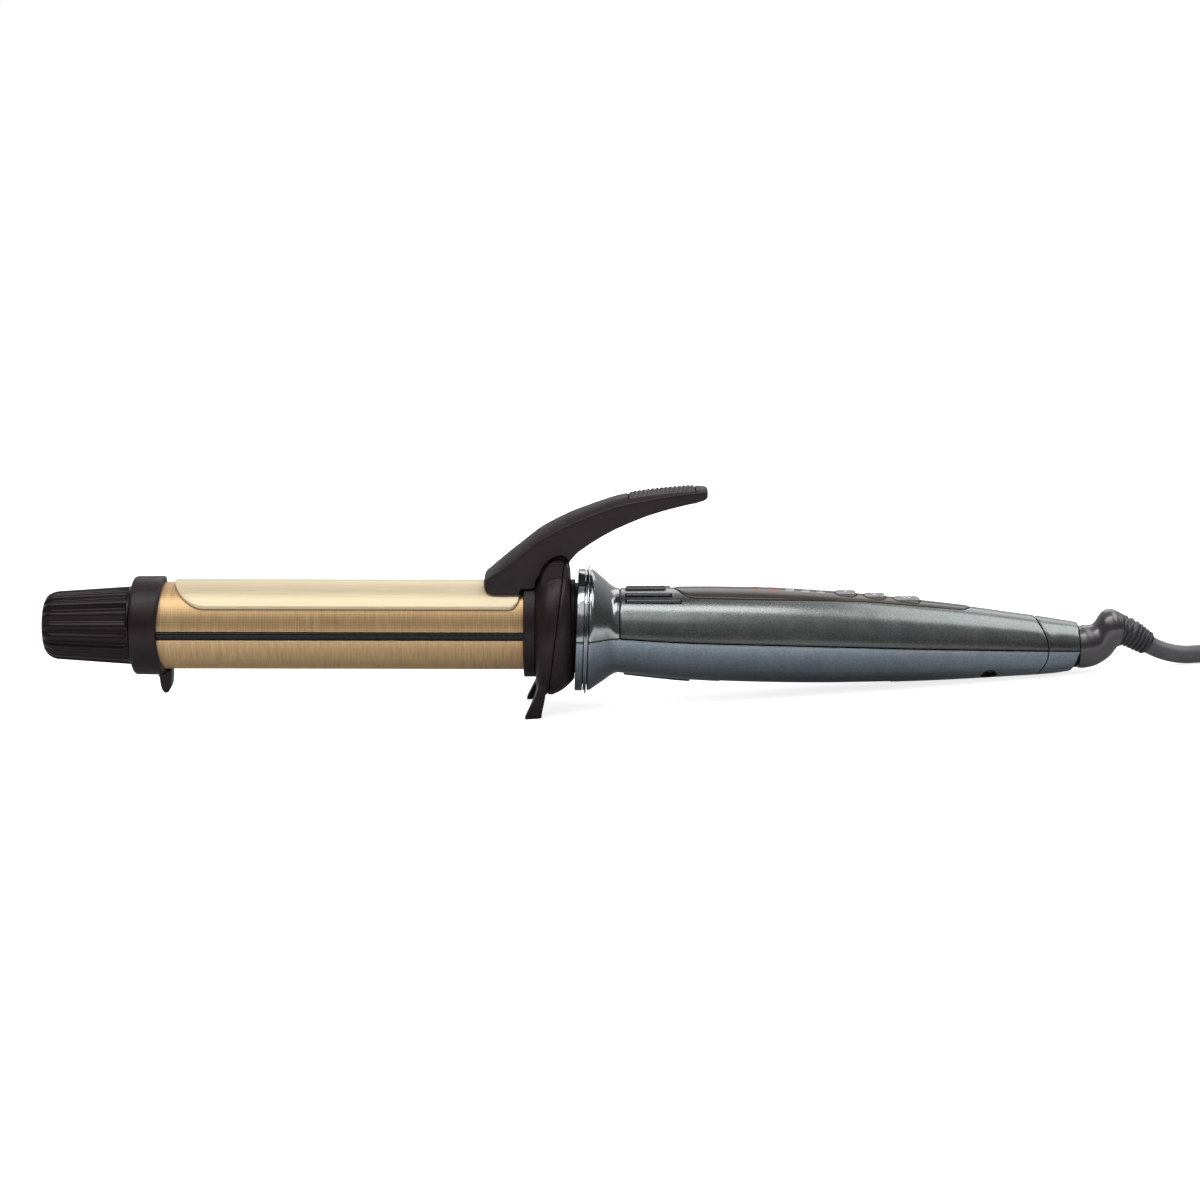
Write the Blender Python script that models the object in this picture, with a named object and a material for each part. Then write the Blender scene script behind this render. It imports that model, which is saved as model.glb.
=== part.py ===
"""Clip-type curling iron: heated barrel with a sprung clip, heat-guard housing with a two-legged
stand, two-shell handle with a control panel, swivel tail and a mains lead folded into a hank.

All shapes are drawn in the iron's own frame in millimetres: X runs along the barrel axis from the
tip (-X) to the handle (+X), Z is up, Y is across, and X = 0 is just in front of the handle flange.
An empty then pitches the iron onto its stand legs and the heel of the handle, so that Z = 0 is the
surface that it lies on.  Angles round the axis are measured from the crown (+Z) towards +Y.
"""
import bpy
import bmesh
import math
from mathutils import Matrix, Vector

MM = 0.001

# ------------------------------------------------------------------ driving dimensions (mm, degrees)
PITCH = 4.105            # nose-up pitch of the iron on its stand
LIFT = 24.373            # height of the frame's origin above the surface
SHIFT = -7.108           # moves the middle of the iron's length to X = 0
GAP = 0.3                # clearance between neighbouring pieces
SEG = 28                 # segments round a full turn

BARREL_R = 13.05
BARREL_WALL = 1.5
BARREL_X0, BARREL_X1 = -128.3, 6.0
INLAY_HALF = 1.15        # half width of the long dark inlay strips
INLAY_Z = -0.5           # their height above the barrel axis

CLIP_R_IN, CLIP_T = 13.3, 0.65
CLIP_X0, CLIP_X1 = -119.4, -16.2
CLIP_SPAN = 56.6         # half angle that the clip plate covers

PIVOT_X, PIVOT_Z, PIN_R = -5.7, 19.3, 1.25
LEVER_HALF = 7.6         # half width of the lever between the ears
EAR_IN, EAR_OUT = 7.9, 11.9

HOUSING_R = 20.6
PARTING_X = -5.3         # housing parting plane on the axis
PARTING_SLOPE = 0.1228   # X per Z of that plane (7 degrees)
LEG_Y0, LEG_Y1 = 10.5, 14.5

FLANGE_R, FLANGE_Z = 18.3, -1.1
TRIM_R = 19.2
WALL = 2.0               # handle shell wall

# handle: distance along the axis, height of its centre, radius
HANDLE = [(13.8, -1.25, 12.75), (22.8, -1.7, 13.3), (31.8, -2.1, 13.8), (40.8, -2.35, 14.1),
          (49.8, -2.55, 14.2), (58.8, -2.75, 14.2), (67.8, -3.0, 14.05), (76.8, -3.3, 13.75),
          (85.8, -3.6, 13.3), (94.8, -3.95, 12.75), (103.8, -4.3, 12.1), (112.8, -4.6, 11.4),
          (121.8, -4.9, 10.6), (130.8, -5.25, 9.7), (139.8, -5.6, 8.8), (149.4, -5.9, 7.6),
          (152.0, -6.0, 7.2)]
BELL = [(4.3, 18.2), (5.2, 18.1), (6.6, 17.1), (9.0, 15.3), (11.4, 13.4), (12.6, 12.85), (13.6, 12.75)]
SLEEVE_X0, SLEEVE_X1 = 138.4, 151.2
SLEEVE_BOW = 3.4         # how far the sleeve's front edge moves back at the sides

RIB_HALF, RIB_PROUD = 0.85, 0.75
RIBS_TOP = [(8.5, 15.6, 27.2), (25.0, 15.6, 29.0), (39.0, 15.6, 31.8)]
RIBS_BOTTOM = [(8.5, 15.2, 33.6), (25.0, 15.2, 35.4), (39.0, 15.2, 37.2)]

PANEL_X0, PANEL_X1 = 30.4, 118.3
BUTTONS = [("button_minus", 78.3, 84.5), ("button_plus", 87.0, 93.2), ("button_power", 95.8, 103.6)]
BUTTON_HALF = 2.9
BUTTON_PROUD = 1.0

# swan-neck elbow: X, Z, radius and the direction it points in there
ELBOW = [(151.6, -6.1, 6.3, 0), (153.0, -6.05, 6.4, 6), (155.3, -5.4, 6.35, 22), (158.5, -4.0, 5.6, 27),
         (160.7, -0.95, 5.85, 24), (162.15, -0.25, 5.9, 10), (163.4, -0.65, 5.35, -1), (165.0, -1.25, 4.7, -16),
         (166.83, -1.68, 4.42, -31)]
RELIEF_X, RELIEF_Z, RELIEF_DROP = 167.10, -1.84, 31.0
RELIEF_LEN, RELIEF_R0, RELIEF_R1 = 6.6, 4.3, 3.7
SWIVEL_Z = -6.1

CORD_D = 5.5
HANK_X0, HANK_RUN, HANK_R = 200.0, 85.8, 22.0   # first X, straight run and outer turn radius
HANK_Y = 12.0            # middle of the hank across the iron
HANK_H = 16.5

# ------------------------------------------------------------------ helpers
for old in list(bpy.data.objects):
    bpy.data.objects.remove(old, do_unlink=True)

root = bpy.data.objects.new("iron_frame", None)
bpy.context.scene.collection.objects.link(root)
root.rotation_euler = (0.0, math.radians(PITCH), 0.0)
root.location = (SHIFT * MM, 0.0, LIFT * MM)
pivot = bpy.data.objects.new("clip_pivot_frame", None)
bpy.context.scene.collection.objects.link(pivot)
pivot.parent = root
pivot.location = (PIVOT_X * MM, 0.0, PIVOT_Z * MM)
swivel = bpy.data.objects.new("swivel_frame", None)
bpy.context.scene.collection.objects.link(swivel)
swivel.parent = root
swivel.location = (SLEEVE_X1 * MM, 0.0, SWIVEL_Z * MM)


def material(name, colour, roughness, metallic=0.0):
    mat = bpy.data.materials.new(name)
    mat.use_nodes = True
    bsdf = mat.node_tree.nodes["Principled BSDF"]
    bsdf.inputs["Base Color"].default_value = (*colour, 1.0)
    bsdf.inputs["Roughness"].default_value = roughness
    bsdf.inputs["Metallic"].default_value = metallic
    mat.diffuse_color = (*colour, 1.0)
    return mat


def solid(name, verts, faces, look=None, parent=root, origin=(0.0, 0.0, 0.0), smooth=True):
    """One closed mesh object; verts in mm in the iron's frame, origin in the same frame."""
    mesh = bpy.data.meshes.new(name)
    mesh.from_pydata([((v[0] - origin[0]) * MM, (v[1] - origin[1]) * MM, (v[2] - origin[2]) * MM)
                      for v in verts], [], faces)
    bm = bmesh.new()
    bm.from_mesh(mesh)
    bmesh.ops.remove_doubles(bm, verts=bm.verts, dist=1e-7)
    bmesh.ops.recalc_face_normals(bm, faces=bm.faces)
    if bm.calc_volume(signed=True) < 0:
        bmesh.ops.reverse_faces(bm, faces=bm.faces)
    bm.to_mesh(mesh)
    bm.free()
    obj = bpy.data.objects.new(name, mesh)
    bpy.context.scene.collection.objects.link(obj)
    if look is not None:
        mesh.materials.append(material(name, *look))
    if smooth:
        mesh.shade_smooth()
        mesh.set_sharp_from_angle(angle=math.radians(35))
    if parent is not None:
        obj.parent = parent
        base = (0.0, 0.0, 0.0) if parent is root else tuple(c / MM for c in parent.location)
        obj.location = tuple((origin[i] - base[i]) * MM for i in range(3))
    return obj


def guide(name, verts, faces, parent=root):
    """A cutter: hidden from the model."""
    obj = solid(name, verts, faces, None, parent)
    obj.hide_render = True
    obj.display_type = "WIRE"
    return obj


def boolean(obj, tool, operation="DIFFERENCE"):
    mod = obj.modifiers.new(tool.name, "BOOLEAN")
    mod.object = tool
    mod.operation = operation
    mod.solver = "EXACT"


def bridge(rings, closed=False):
    """Quads between equal closed rings; capped with a fan-free n-gon at each end, or closed in a loop."""
    n = len(rings[0])
    verts = [p for ring in rings for p in ring]
    faces = []
    count = len(rings)
    for k in range(count if closed else count - 1):
        a, b = k * n, ((k + 1) % count) * n
        for i in range(n):
            j = (i + 1) % n
            faces.append((a + i, a + j, b + j, b + i))
    if not closed:
        faces.append(tuple(range(n - 1, -1, -1)))
        faces.append(tuple((count - 1) * n + i for i in range(n)))
    return verts, faces


def around(x, r, zc=0.0, n=SEG, tilt=0.0):
    """Ring of n points round the X axis; tilt leans the ring: X moves by tilt per Z."""
    out = []
    for i in range(n):
        a = 2 * math.pi * i / n
        out.append((x + tilt * r * math.cos(a), r * math.sin(a), zc + r * math.cos(a)))
    return out


def turned(profile, n=SEG, zc=0.0):
    """Solid of revolution about X from a closed profile of (x, r), r > 0, as a ring-shaped body."""
    return bridge([around(x, r, zc, n) for x, r in profile], closed=True)


def rod(profile, n=SEG, zc=0.0):
    """Solid of revolution about X from an open profile of (x, r), closed by flat ends."""
    return bridge([around(x, r, zc, n) for x, r in profile])


def strips(loops_out, loops_in):
    """Shell between outer and inner arcs: each loop is an open arc, one per station along X."""
    m = len(loops_out[0])
    verts, faces = [], []
    for o, i in zip(loops_out, loops_in):
        verts += list(o) + list(i)
    step = 2 * m
    for k in range(len(loops_out) - 1):
        a, b = k * step, (k + 1) * step
        for j in range(m - 1):
            faces.append((a + j, a + j + 1, b + j + 1, b + j))
            faces.append((a + m + j, b + m + j, b + m + j + 1, a + m + j + 1))
        faces.append((a, b, b + m, a + m))
        faces.append((a + m - 1, a + 2 * m - 1, b + 2 * m - 1, b + m - 1))
    for k in (0, len(loops_out) - 1):
        a = k * step
        for j in range(m - 1):
            faces.append((a + j, a + j + 1, a + m + j + 1, a + m + j))
    return verts, faces


def box(x0, x1, y0, y1, z0, z1):
    verts = [(x, y, z) for x in (x0, x1) for y in (y0, y1) for z in (z0, z1)]
    return verts, [(0, 1, 3, 2), (4, 6, 7, 5), (0, 4, 5, 1), (2, 3, 7, 6), (0, 2, 6, 4), (1, 5, 7, 3)]


def prism_y(outline, y0, y1):
    """Outline of (x, z) extruded along Y."""
    return bridge([[(x, y0, z) for x, z in outline], [(x, y1, z) for x, z in outline]])


def circle_xz(cx, cz, r, n=20):
    return [(cx + r * math.cos(2 * math.pi * i / n), cz + r * math.sin(2 * math.pi * i / n))
            for i in range(n)]


def circle_xy(cx, cy, r, n=16):
    return [(cx + r * math.cos(2 * math.pi * i / n), cy + r * math.sin(2 * math.pi * i / n))
            for i in range(n)]


def prism_z(outline, z0, z1):
    return bridge([[(x, y, z0) for x, y in outline], [(x, y, z1) for x, y in outline]])


def rounded_rect(x0, x1, y0, y1, r, k=4):
    pts = []
    for cx, cy, a0 in ((x1 - r, y1 - r, 0), (x0 + r, y1 - r, 90), (x0 + r, y0 + r, 180), (x1 - r, y0 + r, 270)):
        for i in range(k + 1):
            a = math.radians(a0 + 90 * i / k)
            pts.append((cx + r * math.cos(a), cy + r * math.sin(a)))
    return pts


def table(rows, x, col):
    """Smooth value from a table by a cubic through its points."""
    n = len(rows)
    if x <= rows[0][0]:
        return rows[0][col]
    if x >= rows[-1][0]:
        return rows[-1][col]
    k = max(i for i in range(n - 1) if rows[i][0] <= x)
    x0, x1 = rows[k][0], rows[k + 1][0]
    h = x1 - x0
    t = (x - x0) / h

    def slope(i):
        if i == 0:
            return (rows[1][col] - rows[0][col]) / (rows[1][0] - rows[0][0])
        if i == n - 1:
            return (rows[-1][col] - rows[-2][col]) / (rows[-1][0] - rows[-2][0])
        return (rows[i + 1][col] - rows[i - 1][col]) / (rows[i + 1][0] - rows[i - 1][0])

    p0, p1, m0, m1 = rows[k][col], rows[k + 1][col], slope(k) * h, slope(k + 1) * h
    return ((2 * t**3 - 3 * t**2 + 1) * p0 + (t**3 - 2 * t**2 + t) * m0
            + (-2 * t**3 + 3 * t**2) * p1 + (t**3 - t**2) * m1)


def handle(x):
    return table(HANDLE, x, 1), table(HANDLE, x, 2)


def half_shell(outer, inner, side, n=12, edge=0.15):
    """Upper (side +1) or lower (side -1) half of a shell; outer and inner are lists of (x, zc, r)
    or (x, zc, r, bow), and the halves stop short of the parting plane by edge."""
    def arc(x, zc, r, bow=0.0):
        half = math.acos(edge / r)
        pts = []
        for i in range(n + 1):
            a = -half + 2 * half * i / n
            pts.append((x + bow * math.sin(a) ** 2, r * math.sin(a), zc + side * r * math.cos(a)))
        return pts
    return strips([arc(*s) for s in outer], [arc(*s) for s in inner])


# looks: colour, roughness, metallic
AUBERGINE = ((0.016, 0.010, 0.012), 0.5)
AUBERGINE_GLOSS = ((0.018, 0.010, 0.014), 0.15)
GOLD = ((0.52, 0.34, 0.19), 0.38, 0.6)
CREAM = ((0.80, 0.68, 0.47), 0.3, 0.6)
GUNMETAL = ((0.064, 0.070, 0.067), 0.35, 0.6)
BLUEGREY = ((0.13, 0.155, 0.18), 0.35, 0.5)
DARKGLOSS = ((0.02, 0.019, 0.022), 0.12)
STEEL = ((0.62, 0.62, 0.64), 0.3, 1.0)
ALUMINIUM = ((0.75, 0.75, 0.76), 0.4, 1.0)
CERAMIC = ((0.85, 0.83, 0.78), 0.6)
BOARD = ((0.03, 0.16, 0.07), 0.5)
BRASS = ((0.78, 0.57, 0.25), 0.3, 1.0)
RUBBER = ((0.05, 0.05, 0.055), 0.6)

# ------------------------------------------------------------------ tip
FLUTES = 18


def fluted(x, r, depth, n=FLUTES * 3):
    pts = []
    for i in range(n):
        a = 2 * math.pi * i / n
        rr = r - depth * (0.5 - 0.5 * math.cos(FLUTES * a))
        pts.append((x, rr * math.sin(a), rr * math.cos(a)))
    return pts


n72 = FLUTES * 3
tip_rings = [around(-159.0, 3.5, 0, n72), fluted(-158.2, 7.9, 0.35), fluted(-156.8, 9.5, 0.8),
             fluted(-155.0, 10.35, 1.0), fluted(-134.0, 11.8, 1.0), around(-133.4, 11.85, 0, n72),
             around(-132.3, 11.7, 0, n72), around(-132.3, 6.0, 0, n72), around(-144.0, 6.0, 0, n72)]
solid("tip_cap", *bridge(tip_rings), AUBERGINE_GLOSS)

collar = solid("tip_collar", *turned([(-132.0, 8.7), (-132.0, 13.2), (-131.4, 14.2), (-130.2, 14.75),
                                      (-128.6, 14.85), (-124.6, 14.85), (-123.7, 14.7), (-123.6, 14.3),
                                      (-123.6, BARREL_R + GAP), (-128.6, BARREL_R + GAP),
                                      (-128.6, 8.7)], 32), AUBERGINE)
foot = guide("tip_foot_shape", *prism_y([(-126.2, -13.9), (-122.6, -14.4), (-121.6, -16.0), (-121.0, -18.8),
                                         (-121.2, -20.2), (-122.2, -20.8), (-123.2, -20.3), (-123.7, -18.6),
                                         (-124.5, -15.4)], -3.4, 3.4))
boolean(collar, foot, "UNION")

solid("tip_insulator", *rod([(-141.0, 5.2), (-131.6, 5.2), (-131.6, 8.4), (-124.0, 8.4), (-124.0, 10.9),
                             (-120.6, 10.9)], 24), CERAMIC)
# ------------------------------------------------------------------ barrel
wall_out, wall_in = [], []
half_a = math.degrees(math.asin((INLAY_HALF + 0.2) / BARREL_R))
mid_a = 90 - math.degrees(math.asin(INLAY_Z / BARREL_R))
angles = []
for side_mid in (mid_a, 360 - mid_a):
    angles += [(side_mid - half_a, BARREL_R), (side_mid - half_a + 0.01, BARREL_R - 0.8),
               (side_mid + half_a - 0.01, BARREL_R - 0.8), (side_mid + half_a, BARREL_R)]
lo, hi = angles[3][0], angles[4][0]
bottom = [(lo + (hi - lo) * i / 18, BARREL_R) for i in range(1, 18)]
top = [(angles[7][0] + (360 + angles[0][0] - angles[7][0]) * i / 18, BARREL_R) for i in range(1, 18)]
section = angles[:4] + bottom + angles[4:] + top
barrel_rings = []
for x in (BARREL_X0, BARREL_X1):
    barrel_rings.append([(x, r * math.sin(math.radians(a)), r * math.cos(math.radians(a)))
                         for a, r in section])
inner_r = BARREL_R - BARREL_WALL
for x in (BARREL_X1, BARREL_X0):
    barrel_rings.append([(x, inner_r * math.sin(math.radians(a)), inner_r * math.cos(math.radians(a)))
                         for a, r in section])
# the groove walls are radial, so their inner copies are spread a little to keep every face real
spread = {1: 0.35, 2: -0.35, 22: 0.35, 23: -0.35}
for ring in barrel_rings[2:]:
    for k, (a, r) in enumerate(section):
        if r < BARREL_R:
            shift = half_a * 0.5 if section[k - 1][1] == BARREL_R else -half_a * 0.5
            ring[k] = (ring[k][0], inner_r * math.sin(math.radians(a + shift)),
                       inner_r * math.cos(math.radians(a + shift)))
solid("barrel_tube", *bridge(barrel_rings, closed=True), GOLD)

strip_half = math.degrees(math.asin(INLAY_HALF / BARREL_R))
for name, mid in (("inlay_strip_far", mid_a), ("inlay_strip_near", 360 - mid_a)):
    rings = []
    for x in (BARREL_X0 + 0.3, BARREL_X1 - 0.3):
        outer = [(x, (BARREL_R + 0.05) * math.sin(math.radians(mid + strip_half * t)),
                  (BARREL_R + 0.05) * math.cos(math.radians(mid + strip_half * t))) for t in (-1, -0.5, 0, 0.5, 1)]
        inner = [(x, (BARREL_R - 0.5) * math.sin(math.radians(mid + strip_half * t)),
                  (BARREL_R - 0.5) * math.cos(math.radians(mid + strip_half * t))) for t in (1, 0, -1)]
        rings.append(outer + inner)
    solid(name, *bridge(rings), DARKGLOSS)


def half_round(x0, x1, r, side, flat, n=16):
    half = math.acos(flat / r)
    pts = [(r * math.sin(-half + 2 * half * i / n), side * r * math.cos(-half + 2 * half * i / n)) for i in range(n + 1)]
    return bridge([[(x, y, z) for y, z in pts] for x in (x0, x1)])


solid("heat_spreader_upper", *half_round(-118.0, -38.0, 11.2, 1, 1.6), ALUMINIUM)
solid("heat_spreader_lower", *half_round(-118.0, -38.0, 11.2, -1, 1.6), ALUMINIUM)
solid("ptc_heater", *box(-114.0, -44.0, -8.0, 8.0, -1.25, 1.25), CERAMIC, smooth=False)
solid("thermistor", *rod([(-36.8, 0.6), (-36.2, 1.3), (-33.4, 1.3), (-32.8, 0.6), (-30.0, 0.6)], 12), DARKGLOSS)
solid("tip_screw", *rod([(-143.6, 3.0), (-141.4, 3.0), (-141.4, 1.5)], 16), STEEL)

# ------------------------------------------------------------------ clip (turns with the lever)
CLIP_XS = [CLIP_X0, -119.1, -118.4, -117.2, -115.5, -113.0, -109.5, -90.0, -70.0, -50.0, -30.0, -19.4, -17.6, -16.6,
           CLIP_X1]


def clip_half(x):
    if x < -109.5:
        return CLIP_SPAN * math.sqrt(max(0.02, 1 - ((x + 109.5) / 9.95) ** 2))
    if x > -19.4:
        return CLIP_SPAN - 18.0 * (1 - math.sqrt(max(0.0, 1 - ((x + 19.4) / 3.25) ** 2)))
    return CLIP_SPAN


def clip_arc(x, r, n=12):
    half = clip_half(x)
    return [(x, r * math.sin(math.radians(-half + 2 * half * i / n)),
             r * math.cos(math.radians(-half + 2 * half * i / n))) for i in range(n + 1)]


clip_plate = solid("clip_plate", *strips([clip_arc(x, CLIP_R_IN + CLIP_T) for x in CLIP_XS],
                                         [clip_arc(x, CLIP_R_IN) for x in CLIP_XS]), CREAM, pivot,
                   (PIVOT_X, 0, PIVOT_Z))
RIVETS = [("clip_rivet_front", -23.4), ("clip_rivet_rear", -18.9)]
for name, x in RIVETS:
    boolean(clip_plate, guide(name + "_hole", *prism_z(circle_xy(x, 0, 1.5), 12.0, 15.0)))
    solid(name, *prism_z(circle_xy(x, 0, 1.2), CLIP_R_IN + 0.1, 16.6), STEEL, pivot, (PIVOT_X, 0, PIVOT_Z))

# lever: x, top height, underside height at the middle, half width, radius of the arch underneath (0 = flat)
LEVER = [(-26.8, 15.3, 14.4, 6.6, 14.4), (-26.2, 16.2, 14.4, 8.2, 14.4), (-25.2, 17.1, 14.4, 8.9, 14.4),
         (-23.4, 18.9, 14.4, 9.2, 14.4), (-18.6, 23.1, 14.4, 9.2, 14.4), (-16.1, 25.0, 14.4, 9.1, 14.4),
         (-15.8, 25.3, 15.8, 9.1, 15.8), (-11.5, 28.8, 15.8, 8.9, 15.8), (-11.0, 29.2, 16.2, LEVER_HALF, 0),
         (-9.2, 30.4, 16.9, LEVER_HALF, 0), (-7.5, 31.4, 16.35, LEVER_HALF, 0), (-5.7, 32.4, 16.0, LEVER_HALF, 0),
         (-4.1, 33.2, 16.4, LEVER_HALF, 0), (-2.8, 33.8, 17.6, LEVER_HALF, 0), (-1.9, 34.3, 20.0, LEVER_HALF, 0),
         (0.6, 35.4, 23.4, 7.5, 0), (3.0, 36.3, 25.2, 7.4, 0), (7.8, 38.1, 28.3, 7.1, 0),
         (13.8, 40.0, 31.4, 6.7, 0), (22.8, 41.5, 35.0, 6.2, 0), (31.8, 42.4, 37.5, 5.8, 0),
         (36.6, 42.7, 38.5, 5.4, 0), (38.9, 42.6, 39.1, 4.6, 0), (39.8, 42.0, 39.7, 3.4, 0)]


def lever_ring(x, zt, zb, w, arch):
    pts = []
    m = 6
    for i in range(m + 1):
        y = -w + 2 * w * i / m
        pts.append((x, y, math.sqrt(arch * arch - y * y) if arch else zb))
    crown = min(2.2, 0.3 * (zt - zb))
    edge_z = zt - crown
    mid = min(1.0, 0.25 * (edge_z - pts[-1][2]))
    for i in range(9):
        y = w - 2 * w * i / 8
        pts.append((x, y * (1.0 if abs(i - 4) < 4 else 0.985), zt - crown * (abs(y) / w) ** 2.4))
    return pts


lever = solid("clip_lever", *bridge([lever_ring(*row) for row in LEVER]), AUBERGINE, pivot, (PIVOT_X, 0, PIVOT_Z))
boolean(lever, guide("lever_bore", *prism_y(circle_xz(PIVOT_X, PIVOT_Z, PIN_R + GAP), -12, 12)))
boolean(lever, guide("lever_spring_slot", *box(-10.3, -1.0, -4.3, 4.3, 14.0, 24.4)))
for name, x in RIVETS:
    boolean(lever, guide(name + "_seat", *prism_z(circle_xy(x, 0, 1.5), 12.0, 17.0)))


def lever_top(x):
    return table([(row[0], row[1]) for row in LEVER], x, 1)


PAD_X0, PAD_X1, PAD_W = 16.2, 36.0, 4.3
pad_xs = [PAD_X0]
ridge = PAD_X0 + 1.0
while ridge < PAD_X1 - 1.2:
    pad_xs += [ridge, ridge + 0.55, ridge + 1.25, ridge + 1.8]
    ridge += 2.25
pad_xs.append(PAD_X1)
rings = []
for k, x in enumerate(pad_xs):
    up = 0.45 if k % 4 in (2, 3) and 0 < k < len(pad_xs) - 1 else -0.05
    z = lever_top(x)
    w = PAD_W - (0.6 if k in (0, len(pad_xs) - 1) else 0.0)
    rings.append([(x, -w, z - 1.6), (x, -w, z - 0.35 + up), (x, -w * 0.6, z + up), (x, w * 0.6, z + up),
                  (x, w, z - 0.35 + up), (x, w, z - 1.6)])
solid("thumb_pad", *bridge(rings), RUBBER, pivot, (PIVOT_X, 0, PIVOT_Z), smooth=False)
rings = []
for x in (PAD_X0 - GAP, 23.0, 30.0, PAD_X1 + GAP):
    z = lever_top(x)
    rings.append([(x, -PAD_W - GAP, z - 1.6 - GAP), (x, -PAD_W - GAP, z + 3), (x, PAD_W + GAP, z + 3),
                  (x, PAD_W + GAP, z - 1.6 - GAP)])
boolean(lever, guide("pad_pocket", *bridge(rings)))

# ------------------------------------------------------------------ heat-guard housing, stand and pivot
solid("base_collar", *turned([(-15.0, BARREL_R + GAP), (-15.0, 14.8), (-14.5, 15.3), (-12.2, 15.3), (-11.75, 15.0),
                              (-11.75, BARREL_R + GAP)], 32), AUBERGINE)


def leaning(rows, n=36):
    """Disc-shaped body whose rings lean: rows of (x, lean, r, zc)."""
    return bridge([around(x, r, zc, n, lean * PARTING_SLOPE) for x, lean, r, zc in rows])


bore = guide("barrel_bore", *rod([(-25.0, BARREL_R + GAP), (4.0, BARREL_R + GAP)], 32))


housing = solid("stand_housing", *leaning([(-11.4, 0, 15.2, 0), (-11.2, 0.1, 16.4, 0), (-10.4, 0.4, 18.3, 0),
                                           (-9.1, 0.7, 19.8, 0), (-7.4, 1, HOUSING_R, 0),
                                           (PARTING_X - 0.15, 1, HOUSING_R, 0)]), AUBERGINE)


def parting(z, off=0.0):
    return PARTING_X + off + PARTING_SLOPE * z


EAR_TOP = [(-9.9, 15.2), (-9.4, 17.8), (-8.4, 19.9), (-6.9, 21.5), (-5.0, 22.3), (-3.2, 22.4)]
for tag, y0, y1 in (("near", -EAR_OUT, -EAR_IN + 1.0), ("far", EAR_IN - 1.0, EAR_OUT)):
    ear = guide("front_ear_" + tag, *prism_y([(-9.9, 12.5)] + EAR_TOP + [(parting(22.4, -0.2), 22.4),
                                                                         (parting(12.5, -0.2), 12.5)], y0, y1))
    boolean(housing, ear, "UNION")
slot = guide("lever_slot", *box(-13.0, 1.0, -EAR_IN, EAR_IN, 15.65, 30.0))


def sole(x):
    """Height, in the iron's frame, of the surface that the iron lies on."""
    p = math.radians(PITCH)
    return (-LIFT + x * math.sin(p)) / math.cos(p)


LEG = [(-10.9, -9.0), (-10.6, -12.5), (-10.4, -15.0), (-11.2, -18.0), (-12.7, -21.2), (-14.7, sole(-14.7)),
       (-9.6, sole(-9.6)), (-8.9, -21.2), (-8.3, -18.0), (-7.9, -9.0)]
stand = guide("stand_shape", *prism_y(LEG, -LEG_Y1, LEG_Y1))
arch_outline = [(LEG_Y0 * math.cos(math.radians(t)), -22.4 + 4.6 * math.sin(math.radians(t))) for t in range(0, 181, 15)]
arch_outline = [(LEG_Y0 + 0.4, -32.0)] + arch_outline + [(-LEG_Y0 - 0.4, -32.0)]
arch_cut = guide("stand_arch_cut", *bridge([[(x, y, z) for y, z in arch_outline] for x in (-20.0, -6.9)]))
boolean(stand, arch_cut)
boolean(housing, stand, "UNION")
boolean(housing, slot)
boolean(housing, bore)
boolean(housing, guide("pin_seat", *prism_y(circle_xz(PIVOT_X, PIVOT_Z, PIN_R + GAP), -11.3, 13.0)))

rear = solid("rear_housing", *leaning([(PARTING_X + 0.15, 1, HOUSING_R, 0), (-4.25, 0.85, HOUSING_R, 0),
                                       (-2.6, 0.35, 19.7, 0.5), (-1.3, -0.15, 18.0, 1.4)]), AUBERGINE)
for tag, y0, y1 in (("near", -EAR_OUT, -EAR_IN + 1.0), ("far", EAR_IN - 1.0, EAR_OUT)):
    ear = guide("rear_ear_" + tag, *prism_y([(parting(12.5, 0.2), 12.5), (parting(22.4, 0.2), 22.4), (-2.1, 22.2),
                                             (-1.6, 21.2), (-1.5, 19.0), (-1.7, 12.5)], y0, y1))
    boolean(rear, ear, "UNION")
boolean(rear, slot)
boolean(rear, bore)

solid("pivot_pin", *prism_y(circle_xz(PIVOT_X, PIVOT_Z, PIN_R), -11.0, 11.7), STEEL)


def tube(points, r, sides=8):
    """Round tube along a polyline, capped."""
    rings = []
    normal = None
    for k, p in enumerate(points):
        a = Vector(points[max(k - 1, 0)])
        b = Vector(points[min(k + 1, len(points) - 1)])
        d = (b - a).normalized()
        if normal is None:
            ref = Vector((0, 0, 1)) if abs(d.z) < 0.9 else Vector((1, 0, 0))
            normal = (ref - d * ref.dot(d)).normalized()
        else:
            normal = (normal - d * normal.dot(d)).normalized()
        side = d.cross(normal)
        rr = r[k] if isinstance(r, (list, tuple)) else r
        rings.append([tuple(Vector(p) + rr * (math.cos(2 * math.pi * i / sides) * normal
                                              + math.sin(2 * math.pi * i / sides) * side)) for i in range(sides)])
    return bridge(rings)


SPRING_R, SPRING_WIRE, SPRING_TURNS = 2.3, 0.4, 5.0
coil = []
for k in range(int(SPRING_TURNS * 10) + 1):
    a = 2 * math.pi * k / 10 + math.radians(100)
    coil.append((PIVOT_X + SPRING_R * math.cos(a), -3.3 + 6.6 * k / (SPRING_TURNS * 10),
                 PIVOT_Z + SPRING_R * math.sin(a)))
first, last = coil[0], coil[-1]
arm_in = [(-9.6, -3.3, 23.3), (-8.4, -3.3, 22.7), (-7.2, -3.3, 21.9)]
arm_out = [(-7.6, 3.3, 21.2), (-9.0, 3.3, 20.4), (-9.8, 3.3, 18.6), (-9.9, 3.3, 16.6)]
solid("torsion_spring", *tube(arm_in + coil + arm_out, SPRING_WIRE, 5), STEEL)

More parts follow.
